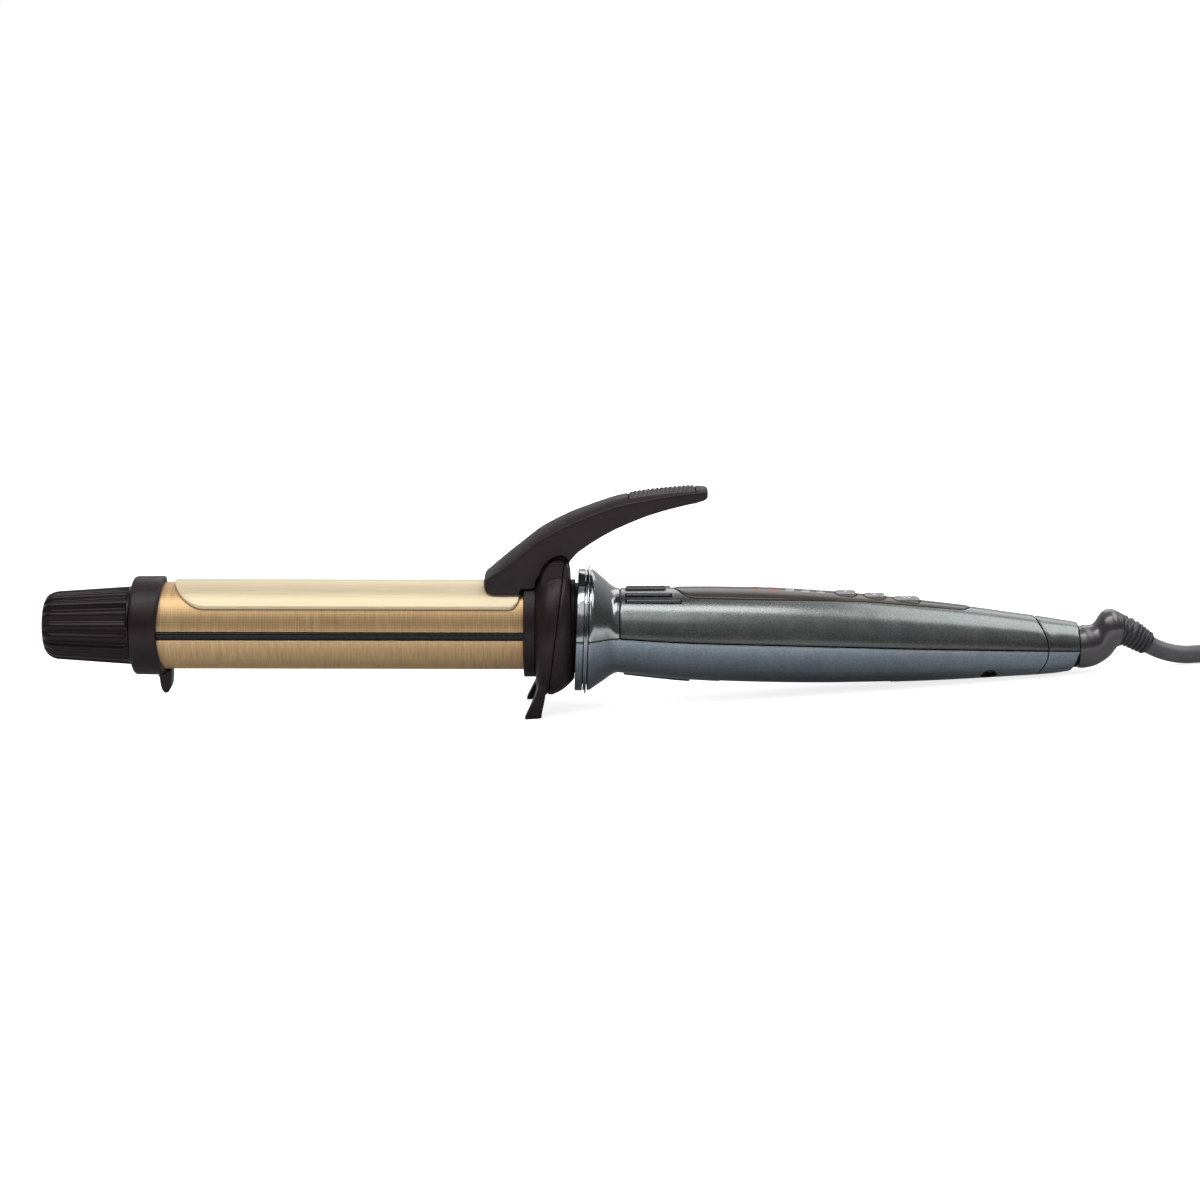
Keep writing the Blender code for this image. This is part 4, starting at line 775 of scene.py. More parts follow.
profile = round_profile([(-132.0, 8.7, 0), (-132.0, 14.8, 1.5), (-123.55, 14.9, 0.8), (-123.55, BARREL_R + GAP, 0.25),
                         (-128.6, BARREL_R + GAP, 0), (-128.6, 8.7, 0)], 1, 8)
collar = mesh_object("tip_collar_shell", *turned(profile, 144))
# the collar's edge bows: further along the barrel at the top than at the sides
for v in collar.data.vertices:
    v.co.x += (1.1 - 1.6 * (v.co.y / (14.9 * MM)) ** 2) * MM * smooth(-129.0, -124.2, v.co.x / MM)
FOOT = [(-125.2, -13.6), (-120.9, -13.2), (-120.9, -15.4), (-121.0, -17.2), (-121.25, -18.6), (-121.7, -19.6), (-122.2, -20.1),
        (-122.8, -20.2), (-123.4, -19.9), (-123.95, -19.0), (-124.35, -17.4), (-124.5, -15.6)]
foot = mesh_object("tip_foot_shape", *prism_y(FOOT, -3.4, 3.4))
soften(foot, 0.45, 4, 20)
mod = collar.modifiers.new("foot", "BOOLEAN")
mod.object, mod.operation, mod.solver = foot, "UNION", "EXACT"
apply_modifiers(collar)
bpy.data.objects.remove(foot, do_unlink=True)
collar.data.shade_smooth()
collar.data.set_sharp_from_angle(angle=math.radians(35))
place(collar, AUBERGINE, "iron", ("tip_collar",))

# ------------------------------------------------------------------ barrel, inlay strips and clip plate
half_a = math.degrees(math.asin((INLAY_HALF + 0.16) / BARREL_R))
mid_a = 90 - math.degrees(math.asin(INLAY_Z / BARREL_R))
section_out, section_in = [], []


def arc_between(a0, a1, r, n):
    return [(a0 + (a1 - a0) * i / (n - 1), r) for i in range(n)]


section = []
for k, side_mid in enumerate((mid_a, 360 - mid_a)):
    lo_a, hi_a = side_mid - half_a, side_mid + half_a
    section += [(lo_a, BARREL_R - 0.12), (lo_a + 0.02, BARREL_R - 0.7), (hi_a - 0.02, BARREL_R - 0.7), (hi_a, BARREL_R - 0.12)]
    nxt = (360 - mid_a - half_a) if k == 0 else (360 + mid_a - half_a)
    section += arc_between(hi_a + 0.5, nxt - 0.5, BARREL_R, 72)
rings = []
for x, dr in ((-128.3, 0.0), (-6.0, 0.0)):
    rings.append([(x, (r + dr) * math.sin(math.radians(a)), (r + dr) * math.cos(math.radians(a))) for a, r in section])
for x in (-6.0, -128.3):
    rings.append([(x, 11.6 * math.sin(math.radians(a)), 11.6 * math.cos(math.radians(a))) for a, r in section])
place(mesh_object("barrel_skin", *bridge(rings, closed=True), sharp=30), GOLD, "iron", ("barrel_tube",))

strip_half = math.degrees(math.asin(INLAY_HALF / BARREL_R))
for name, node, mid in (("inlay_far", "inlay_strip_far", mid_a), ("inlay_near", "inlay_strip_near", 360 - mid_a)):
    rings = []
    for x in linspace(-127.9, -6.0, 3):
        ring = []
        for t in linspace(-1, 1, 11):
            r = BARREL_R + 0.12 - 0.42 * abs(t) ** 6 - 0.05 * math.exp(-(t / 0.16) ** 2)
            a = math.radians(mid + strip_half * t)
            ring.append((x, r * math.sin(a), r * math.cos(a)))
        for t in (1, 0, -1):
            a = math.radians(mid + strip_half * t)
            ring.append((x, (BARREL_R - 0.5) * math.sin(a), (BARREL_R - 0.5) * math.cos(a)))
        rings.append(ring)
    place(mesh_object(name, *bridge(rings), sharp=50), INLAY, "iron", (node,))


def clip_half(x):
    if x < -109.5:
        return CLIP_SPAN * math.sqrt(max(0.012, 1 - ((x + 109.5) / 9.95) ** 2))
    if x > -19.4:
        return CLIP_SPAN - 18.0 * (1 - math.sqrt(max(0.0, 1 - ((x + 19.4) / 3.25) ** 2)))
    return CLIP_SPAN


xs = [-119.4 + 9.9 * (1 - math.cos(math.pi / 2 * i / 22)) for i in range(23)] + linspace(-106.0, -21.0, 18)
xs += [-19.4 + 3.2 * math.sin(math.pi / 2 * i / 10) for i in range(11)]
loops_o, loops_i = [], []
N_ARC = 64
for x in xs:
    half = clip_half(x)
    o, i_ = [], []
    for i in range(N_ARC + 1):
        t = -math.cos(math.pi * i / N_ARC)
        a = math.radians(half * t)
        edge = (1 - abs(t)) * math.radians(half) * CLIP_R_IN            # distance to the long edge, mm
        end = min(x + 119.45, -16.15 - x) if half < CLIP_SPAN - 0.01 else 9.0
        edge = min(edge, max(0.0, end) + 0.02)
        roll = 0.34 * (1 - min(1.0, edge / 0.42)) ** 2
        lip = 0.10 * math.exp(-((edge - 0.75) / 0.28) ** 2)
        r = CLIP_R_IN + CLIP_T - roll + lip
        o.append((x, r * math.sin(a), r * math.cos(a)))
        i_.append((x, CLIP_R_IN * math.sin(a), CLIP_R_IN * math.cos(a)))
    loops_o.append(o)
    loops_i.append(i_)
plate = mesh_object("clip_plate_skin", *strips(loops_o, loops_i), sharp=60)
carve(plate, "DIFFERENCE", *[bridge([[(x, y, z) for x, y in circle(cx, 0, 1.5, 24)] for z in (12.0, 15.5)])
                             for cx in (-23.4, -18.9)])
plate.data.set_sharp_from_angle(angle=math.radians(60))
place(plate, CREAM, "clip", ("clip_plate",))

# ------------------------------------------------------------------ lever
LEVER = [(-26.8, 15.3, 14.4, 6.6, 14.4), (-26.2, 16.2, 14.4, 8.2, 14.4), (-25.2, 17.1, 14.4, 8.9, 14.4),
         (-23.4, 18.9, 14.4, 9.2, 14.4), (-18.6, 23.1, 14.4, 9.2, 14.4), (-16.1, 25.0, 14.4, 9.15, 14.4),
         (-15.8, 25.3, 15.8, 9.15, 15.8), (-11.5, 28.8, 15.8, 8.95, 15.8), (-11.0, 29.2, 16.2, 8.9, 0),
         (-9.2, 30.4, 16.9, 8.8, 0), (-7.5, 31.4, 16.35, 8.7, 0), (-5.7, 32.4, 16.0, 8.55, 0),
         (-4.1, 33.2, 16.4, 8.4, 0), (-2.8, 33.8, 17.6, 8.25, 0), (-1.9, 34.3, 20.0, 8.15, 0),
         (0.6, 35.4, 23.4, 7.9, 0), (3.0, 36.3, 25.2, 7.65, 0), (7.8, 38.1, 28.3, 7.2, 0),
         (13.8, 40.0, 31.4, 6.7, 0), (22.8, 41.5, 35.0, 6.2, 0), (31.8, 42.4, 37.5, 5.8, 0),
         (36.6, 42.7, 38.5, 5.4, 0), (38.9, 42.6, 39.1, 4.6, 0), (39.8, 42.0, 39.7, 3.4, 0)]


def lever_ring(x, zt, zb, w, arch):
    pts = []
    m = 16
    for i in range(m + 1):
        y = -w + 2 * w * i / m
        pts.append((x, y, math.sqrt(arch * arch - y * y) if arch else zb))
    crown = min(2.2, 0.3 * (zt - zb))
    for i in range(25):
        y = w - 2 * w * i / 24
        pts.append((x, y, zt - crown * (abs(y) / w) ** 2.4))
    return pts


def lever_top(x):
    return table(LEVER, x, 1)


rings = []
for k in range(len(LEVER) - 1):
    a, b = LEVER[k], LEVER[k + 1]
    jump = a[4] != b[4]
    steps = 1 if jump else max(1, int((b[0] - a[0]) / 1.2))
    for j in range(steps):
        t = j / steps
        x = a[0] + (b[0] - a[0]) * t
        zt = lever_top(x)
        zb = table(LEVER, x, 2) if (a[0] >= -2.8) else a[2] + (b[2] - a[2]) * t
        w = a[3] + (b[3] - a[3]) * t
        rings.append(lever_ring(x, zt, zb, w, a[4] if a[4] else 0))
rings.append(lever_ring(*LEVER[-1]))
lever = mesh_object("lever_body", *bridge(rings))
# room for the ears of the housing on both sides, angle by angle as far as the lever swings past them
EAR = [(-9.9, 12.5), (-9.9, 15.2), (-9.75, 16.6), (-9.4, 17.8), (-8.9, 18.95), (-8.3, 19.9), (-7.6, 20.7), (-6.8, 21.3), (-5.9, 21.65),
       (-4.9, 21.75), (-3.4, 21.6), (-2.5, 21.35), (-2.0, 21.0), (-1.7, 20.4), (-1.5, 19.4), (-1.6, 12.5)]


def ear_reach(deg):
    """Distance from the pivot to the ear's outline in one direction."""
    d = Vector((math.cos(math.radians(deg)), math.sin(math.radians(deg))))
    best = 0.0
    for p, q in zip(EAR, EAR[1:]):
        p, q = Vector(p) - Vector((PIVOT_X, PIVOT_Z)), Vector(q) - Vector((PIVOT_X, PIVOT_Z))
        e = q - p
        den = d.x * e.y - d.y * e.x
        if abs(den) > 1e-9:
            t, u = (p.x * e.y - p.y * e.x) / den, (p.x * d.y - p.y * d.x) / den
            if t > 0 and -0.001 <= u <= 1.001:
                best = max(best, t)
    return best


SWING = 33
ear_room = [(-10.35, 14.0), (-10.25, 16.2)]
for t in range(188, -1, -4):
    reach = max(ear_reach(u) for u in range(max(-12, t - SWING), t + 1, 3)) + 0.28
    ear_room.append((PIVOT_X + reach * math.cos(math.radians(t)), PIVOT_Z + reach * math.sin(math.radians(t))))
ear_room += [(1.0, 14.0)]
carve(lever, "DIFFERENCE", *[prism_y(ear_room, y0, y1) for y0, y1 in ((-14.0, -7.6), (7.6, 14.0))])
remesh(lever, 0.3, 4, 0.6)
PAD_X0, PAD_X1, PAD_W = 16.2, 36.0, 4.3
pocket = []
for x in linspace(PAD_X0 - 0.25, PAD_X1 + 0.25, 12):
    z = lever_top(x)
    pocket.append([(x, -PAD_W - 0.25, z - 1.9), (x, -PAD_W - 0.25, z + 3), (x, PAD_W + 0.25, z + 3), (x, PAD_W + 0.25, z - 1.9)])
carve(lever, "DIFFERENCE",
      prism_y(circle(PIVOT_X, PIVOT_Z, PIN_R + GAP, 48), -12, 12),
      prism_y([(-10.3, 14.0), (-1.0, 14.0), (-1.0, 24.4), (-12.4, 24.4), (-12.4, 19.0), (-10.3, 18.0)], -4.3, 4.3),
      bridge(pocket),
      *[bridge([[(x, y, z) for x, y in circle(cx, 0, 1.5, 24)] for z in (12.0, 17.0)]) for cx in (-23.4, -18.9)])
lever.data.shade_smooth()
lever.data.set_sharp_from_angle(angle=math.radians(50))
place(lever, AUBERGINE, "clip", ("clip_lever",))

# thumb pad: a field of small pyramids
nx, ny = 78, 30
top, low = [], []
pitch_x, pitch_y = 1.32, 1.43
for i in range(nx * 2 + 1):
    x = PAD_X0 + (PAD_X1 - PAD_X0) * i / (nx * 2)
    row = []
    for j in range(ny * 2 + 1):
        y = -PAD_W + 2 * PAD_W * j / (ny * 2)
        u = abs(((x - PAD_X0) / pitch_x) % 1 - 0.5) * 2
        v = abs(((y + PAD_W) / pitch_y) % 1 - 0.5) * 2
        bump = max(0.0, 1 - max(u, v)) ** 0.7 * 0.52
        border = min(x - PAD_X0, PAD_X1 - x, y + PAD_W, PAD_W - y)
        bump *= smooth(0.3, 0.8, border)
        fall = 0.35 * smooth(0.55, 1.0, abs(y) / PAD_W)
        edge = 0.25 * (1 - smooth(0.0, 0.5, border)) ** 2
        row.append((x, y, lever_top(x) - 0.34 - fall * 1.2 + bump - edge))
    top.append(row)
    low.append([(x, y, lever_top(x) - 1.6) for (x, y, z) in row])
verts, faces = strips(top, low)
place(mesh_object("thumb_pad_knurl", verts, faces, sharp=40), PAD_RUBBER, "clip", ("thumb_pad",))

# ------------------------------------------------------------------ heat-guard housing and stand
profile = round_profile([(-15.0, BARREL_R + 0.1, 0.1), (-15.0, 15.3, 0.6), (-11.43, 15.25, 0.2), (-11.43, BARREL_R + 0.1, 0)], 1, 6)
place(mesh_object("guard_collar", *turned(profile, 144)), AUBERGINE, "iron", ("base_collar",))


def leaning(rows, n=120):
    return bridge([around(x, r, zc, n, lean * PARTING_SLOPE) for x, lean, r, zc in rows])


def parting(z, off=0.0):
    return PARTING_X + off + PARTING_SLOPE * z


def sole(x):
    p = math.radians(PITCH)
    return (-LIFT + x * math.sin(p)) / math.cos(p)


def curve_rows(rows, n):
    """Rows refined by smooth interpolation over their index."""
    out = []
    idx = [[i] + list(r) for i, r in enumerate(rows)]
    for k in range(n):
        t = (len(rows) - 1) * k / (n - 1)
        out.append(tuple(table(idx, t, c) for c in range(1, len(rows[0]) + 1)))
    return out


front_rows = [(-11.4, 0, 15.2, 0), (-11.2, 0.1, 16.4, 0), (-10.4, 0.4, 18.3, 0), (-9.1, 0.7, 19.8, 0), (-7.4, 1, HOUSING_R, 0)]
housing = mesh_object("guard_front", *leaning(curve_rows(front_rows, 17) + [(PARTING_X - 0.15, 1, HOUSING_R, 0)]))
ears = [prism_y(EAR[:11] + [(parting(21.4, -0.2), 21.4), (parting(12.5, -0.2), 12.5)], y0, y1)
        for y0, y1 in ((-EAR_OUT, -EAR_IN + 1.0), (EAR_IN - 1.0, EAR_OUT))]
LEG = [(-10.9, -9.0), (-10.6, -12.5), (-10.4, -15.0), (-10.7, -16.5), (-11.2, -18.0), (-11.9, -19.6), (-12.7, -21.2),
       (-14.7, sole(-14.7)), (-9.6, sole(-9.6)), (-9.25, -22.8), (-8.9, -21.2), (-8.6, -19.6), (-8.3, -18.0), (-7.9, -9.0)]
LEG_Y0, LEG_Y1 = 10.5, 14.5
stand = mesh_object("stand_shape", *prism_y(LEG, -LEG_Y1, LEG_Y1))
arch = [(LEG_Y0 * math.cos(math.radians(t)), -22.4 + 4.6 * math.sin(math.radians(t))) for t in range(0, 181, 5)]
arch = [(LEG_Y0 + 0.4, -32.0)] + arch + [(-LEG_Y0 - 0.4, -32.0)]
carve(stand, "DIFFERENCE", bridge([[(x, y, z) for y, z in arch] for x in (-20.0, -6.9)]))
mod = housing.modifiers.new("stand", "BOOLEAN")
mod.object, mod.operation, mod.solver = stand, "UNION", "EXACT"
apply_modifiers(housing)
bpy.data.objects.remove(stand, do_unlink=True)
carve(housing, "UNION", *ears)
remesh(housing, 0.3, 3, 0.5)
slot_box = box(-13.0, 1.0, -EAR_IN, EAR_IN, 15.65, 30.0)
bore = rod([(-25.0, BARREL_R + GAP), (4.0, BARREL_R + GAP)], 144)
pin_seat = prism_y(circle(PIVOT_X, PIVOT_Z, PIN_R + GAP, 40), -11.3, 13.0)
carve(housing, "DIFFERENCE", slot_box, bore, pin_seat)
# flat, straight soles and parting face again after the smoothing
carve(housing, "DIFFERENCE",
      bridge([[(PARTING_X - 0.15 + PARTING_SLOPE * z, y, z) for z in (-30.0, 30.0)] + [(12.0, y, z) for z in (30.0, -30.0)]
              for y in (-30.0, 30.0)]),
      prism_y([(-30.0, sole(-30.0)), (10.0, sole(10.0)), (10.0, -50.0), (-30.0, -50.0)], -30, 30))
housing.data.shade_smooth()
housing.data.set_sharp_from_angle(angle=math.radians(45))
place(housing, AUBERGINE, "iron", ("stand_housing",))

rear_rows = [(-4.25, 0.85, HOUSING_R, 0), (-2.7, 0.35, 19.7, 0.5), (-1.4, -0.1, 18.3, 1.1), (-0.55, -0.35, 17.1, 1.3)]
rear = mesh_object("guard_rear", *leaning([(PARTING_X - 0.1, 1, HOUSING_R - 0.3, 0), (PARTING_X + 0.2, 1, HOUSING_R, 0)] + curve_rows(rear_rows, 13)))
ears = [prism_y([(parting(12.5, -0.08), 12.5), (parting(21.3, -0.08), 21.3)] + EAR[11:15] + [(-1.6, 12.5)], y0, y1)
        for y0, y1 in ((-EAR_OUT, -EAR_IN + 1.0), (EAR_IN - 1.0, EAR_OUT))]
carve(rear, "UNION", *ears)
remesh(rear, 0.27, 2, 0.5)
carve(rear, "DIFFERENCE", slot_box, bore, pin_seat)
rear.data.shade_smooth()
rear.data.set_sharp_from_angle(angle=math.radians(45))
place(rear, AUBERGINE, "iron", ("rear_housing",))

pin = mesh_object("pivot_rod", *bridge([[(PIVOT_X + r * math.cos(2 * math.pi * i / 40), y, PIVOT_Z + r * math.sin(2 * math.pi * i / 40))
                                         for i in range(40)] for y, r in ((-11.0, PIN_R), (11.5, PIN_R), (11.7, PIN_R - 0.25))]))
place(pin, STEEL, "iron", ("pivot_pin",))

# ------------------------------------------------------------------ handle shells
profile = round_profile([(-5.9, 11.6, 0), (-5.9, BARREL_R, 0), (-0.95, BARREL_R, 0.1), (-0.95, 14.1, 0.25), (0.4, 14.1, 0.25), (0.4, BARREL_R, 0.1),
                         (6.0, BARREL_R, 0), (6.0, 11.6, 0)], 1, 4)
place(mesh_object("neck_ring_shell", *turned(profile, 120)), NECK_BLACK, "iron", ("neck_ring",))


def lean_flange(obj):
    """Leans the flange about the cross axis: fully up to the trim, and fading out along the bell."""
    for v in obj.data.vertices:
        x = v.co.x / MM
        v.co.x += 0.033 * (v.co.z - FLANGE_Z * MM) * (1 - smooth(4.4, 12.5, x))
    obj.data.update()
    return obj


profile = round_profile([(3.12, 16.7, 0), (3.12, 18.15, 0.1), (3.62, 18.2, 0.1), (3.7, TRIM_R, 0.12), (4.1, TRIM_R, 0.12), (4.15, 16.7, 0)], 1, 4)
place(lean_flange(mesh_object("trim_ring_shell", *turned(profile, 160, FLANGE_Z))), CHROME, "iron", ("trim_ring",))


def half_loops(outer, inner, side, n=44, edge=0.15, fillet=0.3):
    """Closed ring of points per station: outer arc with rounded long edges, and the inner arc back."""
    rings = []
    for (x, zc, r, *bow), (xi, zi, ri, *bi) in zip(outer, inner):
        b, c = (bow[0] if bow else 0.0), (bi[0] if bi else 0.0)
        half = math.acos(edge / r)
        ring = []
        f = fillet
        a1 = half - f / r
        for i in range(n + 1):
            a = -a1 + 2 * a1 * i / n
            ring.append((x + b * math.sin(a) ** 2, r * math.sin(a), zc + side * r * math.cos(a)))

        def corner(sgn, t):
            p0 = Vector((r * math.sin(a1), side * r * math.cos(a1)))
            p1 = Vector((r * math.sin(half), side * edge))
            p2 = Vector((r * math.sin(half) - f, side * edge))
            q = p0 * (1 - t) ** 2 + p1 * (2 * t * (1 - t)) + p2 * t * t
            return (x + b, sgn * q.x, zc + q.y)

        left = [corner(-1, t) for t in (1.0, 0.66, 0.33)]
        right = [corner(1, t) for t in (0.33, 0.66, 1.0)]
        hi = math.acos(min(1.0, edge / ri))
        back = [(xi + c * math.sin(a) ** 2, ri * math.sin(a), zi + side * ri * math.cos(a)) for a in linspace(hi, -hi, 25)]
        # the inner edge keeps to the same parting height as the outer one
        back[0] = (back[0][0], back[0][1], zc + side * edge)
        back[-1] = (back[-1][0], back[-1][1], zc + side * edge)
        rings.append(left + ring + right + back)
    return bridge(rings)


def refine(rows, steps):
    out = []
    for k in range(len(rows) - 1):
        a, b = rows[k], rows[k + 1]
        for j in range(steps[k] if isinstance(steps, list) else steps):
            t = j / (steps[k] if isinstance(steps, list) else steps)
            out.append(tuple(p + (q - p) * t for p, q in zip(a, b)))
    out.append(rows[-1])
    return out


BELL_FINE = [(4.35, 17.9), (4.5, 18.12), (4.8, 18.18)] + [(x, table(BELL, x, 1)) for x in linspace(5.2, 13.2, 17)] + [(13.45, 12.72), (13.6, 12.55)]
flange_front = [(0.7, 17.6), (0.72, 17.95), (0.85, 18.2), (1.1, FLANGE_R), (2.75, FLANGE_R), (2.9, 18.2), (2.98, 18.0), (2.99, 16.4), (4.25, 16.4)]
outs = [(x, FLANGE_Z + (-1.2 - FLANGE_Z) * smooth(8.0, 13.0, x), r) for x, r in flange_front + BELL_FINE]
ins = []
for x, zc, r in outs:
    ins.append((x, -0.3 if x < 7 else -0.3 - 0.7 * smooth(7.0, 13.0, x), 13.6 if x < 6.4 else 13.6 - 2.85 * smooth(6.4, 12.0, x)))
bell = mesh_object("bell_top", *half_loops(outs, ins, 1), sharp=32)
place(lean_flange(bell), GUNMETAL_GLOSS, "iron", ("bell_upper",))

SHELL_X1 = SLEEVE_X0 - GAP
body_x = [13.9, 14.05, 14.4] + linspace(16.0, 136.4, 44) + [137.6, SHELL_X1 - 0.12, SHELL_X1]


def body_rows(wall):
    rows = []
    for x in body_x:
        zc, r = handle(x)
        bow = SLEEVE_BOW * smooth(128.0, SHELL_X1, x) if x < SHELL_X1 else SLEEVE_BOW
        shy = 0.16 if x in (13.9, SHELL_X1) and wall == 0 else 0.0
        shy = 0.05 if x in (14.05, SHELL_X1 - 0.12) and wall == 0 else shy
        rows.append((x, zc, r - wall - shy, bow))
    return rows


upper = mesh_object("shell_top", *half_loops(body_rows(0), body_rows(WALL), 1, 60))
lower_out = [(x, zc, r, 0.0) for x, zc, r in outs if x < 13.3] + body_rows(0)[2:]
lower_in = [(x, zi, ri, 0.0) for (x, zi, ri), (xo, _, _) in zip(ins, outs) if xo < 13.3] + body_rows(WALL)[2:]
lower = mesh_object("shell_bottom", *half_loops(lower_out, lower_in, -1, 60))

PANEL_X0, PANEL_X1 = 30.4, 118.3


def panel_half(x):
    if x < 36.0:
        return 1.2 + 5.4 * math.sin(math.pi / 2 * (x - PANEL_X0) / (36.0 - PANEL_X0)) ** 0.8 if x > PANEL_X0 else 1.2
    t = (x - 36.0) / (PANEL_X1 - 36.0)
    w = 6.6 + 0.9 * math.sin(math.pi * min(1.0, t * 1.6)) - 3.4 * t ** 1.4
    if x > PANEL_X1 - 2.6:
        w *= math.sqrt(max(0.12, 1 - ((x - PANEL_X1 + 2.6) / 2.75) ** 2))
    return w


panel_x = [PANEL_X0, 30.6, 30.9, 31.4, 32.2, 33.2, 34.4, 36.0] + linspace(38.0, 113.0, 38) + [115.0, 115.9, 116.5, 117.0, 117.5, 117.9, PANEL_X1]


def panel_loops(grow, top_off, bottom_off, n=20, roll=0.0):
    outs_, ins_ = [], []
    for k, x in enumerate(panel_x):
        zc, r = handle(x)
        w = panel_half(x) + grow
        xx = x + (-grow if k == 0 else grow if k == len(panel_x) - 1 else 0.0)
        ys = [-w * math.cos(math.pi * i / n) for i in range(n + 1)]
        o = []
        for y in ys:
            e_ = min(w - abs(y), x - PANEL_X0 + 0.02, PANEL_X1 - x + 0.02)
            o.append((xx, y, zc + math.sqrt((r + top_off) ** 2 - y * y) - roll * (1 - min(1.0, max(0.0, e_) / 0.5)) ** 2))
        outs_.append(o)
        ins_.append([(xx, y, zc + math.sqrt((r + bottom_off) ** 2 - y * y)) for y in ys])
    return strips(outs_, ins_)


BUTTONS = [("button_minus", 78.3, 84.5), ("button_plus", 87.0, 93.2), ("button_power", 95.8, 103.6)]
BUTTON_HALF, BUTTON_PROUD = 2.9, 0.7
button_holes = []
for name, x0, x1 in BUTTONS:
    zc, r = handle((x0 + x1) / 2)
    hole = rounded_rect(x0 - GAP, x1 + GAP, -BUTTON_HALF - GAP, BUTTON_HALF + GAP, 1.9, 8)
    button_holes.append(bridge([[(x, y, z) for x, y in hole] for z in (zc + r - 5.0, zc + r + 5.0)]))
panel = mesh_object("panel_lens", *panel_loops(0.0, 0.25, -0.9, roll=0.25))
carve(panel, "DIFFERENCE", *button_holes)
panel.data.shade_smooth()
panel.data.set_sharp_from_angle(angle=math.radians(45))
place(panel, PANEL, "iron", ("control_panel",))

RIB_HALF, RIB_PROUD = 0.72, 0.7
RIBS_TOP = [(6.3, 15.6, 27.2), (22.3, 15.6, 29.0), (34.8, 15.6, 31.8)]
RIBS_BOTTOM = [(6.0, 14.9, 34.8)]


def rib(a, sgn, x0, x1, side, half, proud, base, n=8, square=False):
    rows_o, rows_i = [], []
    r_end = 0.35
    xs_ = [x0 + r_end * (1 - math.cos(math.pi / 2 * i / 4)) for i in range(5)]
    xs_ += linspace(x0 + 1.2, x1 - 1.2, 10) + [x1 - r_end * (1 - math.sin(math.pi / 2 * i / 4)) for i in range(5)]
    for x in xs_:
        d = min(x - x0, x1 - x)
        e_ = 1.0 if square else math.sqrt(max(0.0, 1 - (1 - min(1.0, d / r_end)) ** 2))
        w = half * (0.72 + 0.28 * e_)
        zc, r = handle(x)
        o, i_ = [], []
        for k in range(n + 1):
            t = -1 + 2 * k / n
            ang = math.radians(sgn * a) + t * w / r
            lift = proud if square else proud * (0.35 + 0.65 * e_) * (1 - 0.75 * abs(t) ** 3.5)
            ro = r + lift
            o.append((x, ro * math.sin(ang), zc + side * ro * math.cos(ang)))
            i_.append((x, (r - base) * math.sin(ang), zc + side * (r - base) * math.cos(ang)))
        rows_o.append(o)
        rows_i.append(i_)
    return strips(rows_o, rows_i)


def merged(geoms):
    verts, faces = [], []
    for v, f in geoms:
        base = len(verts)
        verts += v
        faces += [tuple(base + i for i in face) for face in f]
    return verts, faces


for node, name, ribs, side in (("grip_insert_upper", "grip_ribs_top", RIBS_TOP, 1), ("grip_insert_lower", "grip_ribs_bottom", RIBS_BOTTOM, -1)):
    cutters = [rib(a, s, x0 - GAP, x1 + GAP, side, RIB_HALF + GAP, 2.5, WALL + 1.0, 4, True) for a, x0, x1 in ribs for s in (-1, 1)]
    if side > 0:
        carve(upper, "DIFFERENCE", *cutters)
        carve(upper, "DIFFERENCE", panel_loops(GAP, 3.0, -0.9 - GAP, 12))
        carve(upper, "DIFFERENCE", *button_holes)
    else:
        carve(lower, "DIFFERENCE", *cutters)
    bodies = [rib(a, s, x0, x1, side, RIB_HALF - 0.05, RIB_PROUD - 0.1, WALL + 0.6) for a, x0, x1 in ribs for s in (-1, 1)]
    sheet_x = linspace(ribs[0][1] - 0.4, ribs[-1][2] + 0.4, 8)
    span = math.radians(46)

    def arc_at(x, inset):
        zc, r = handle(x)
        return [(x, (r - inset) * math.sin(a), zc + side * (r - inset) * math.cos(a)) for a in linspace(-span, span, 25)]

    bodies.append(strips([arc_at(x, WALL + GAP) for x in sheet_x], [arc_at(x, WALL + GAP + 0.9) for x in sheet_x]))
    place(mesh_object(name, *merged(bodies), sharp=50), RIB_TOP if side > 0 else RIB_LOW, "iron", (node,))

# blank rating plate and the screws underneath
plate_x = linspace(44.0, 95.0, 12)


def plate_loops(grow, top_off, bottom_off, half=5.2, n=12, roll=0.0):
    outs_, ins_ = [], []
    for k, x in enumerate(plate_x):
        zc, r = handle(x)
        w = half + grow
        xx = x + (-grow if k == 0 else grow if k == len(plate_x) - 1 else 0.0)
        ys = [-w * math.cos(math.pi * i / n) for i in range(n + 1)]
        outs_.append([(xx, y, zc - math.sqrt((r + top_off) ** 2 - y * y)) for y in ys])
        ins_.append([(xx, y, zc - math.sqrt((r + bottom_off) ** 2 - y * y)) for y in ys])
    return strips(outs_, ins_)


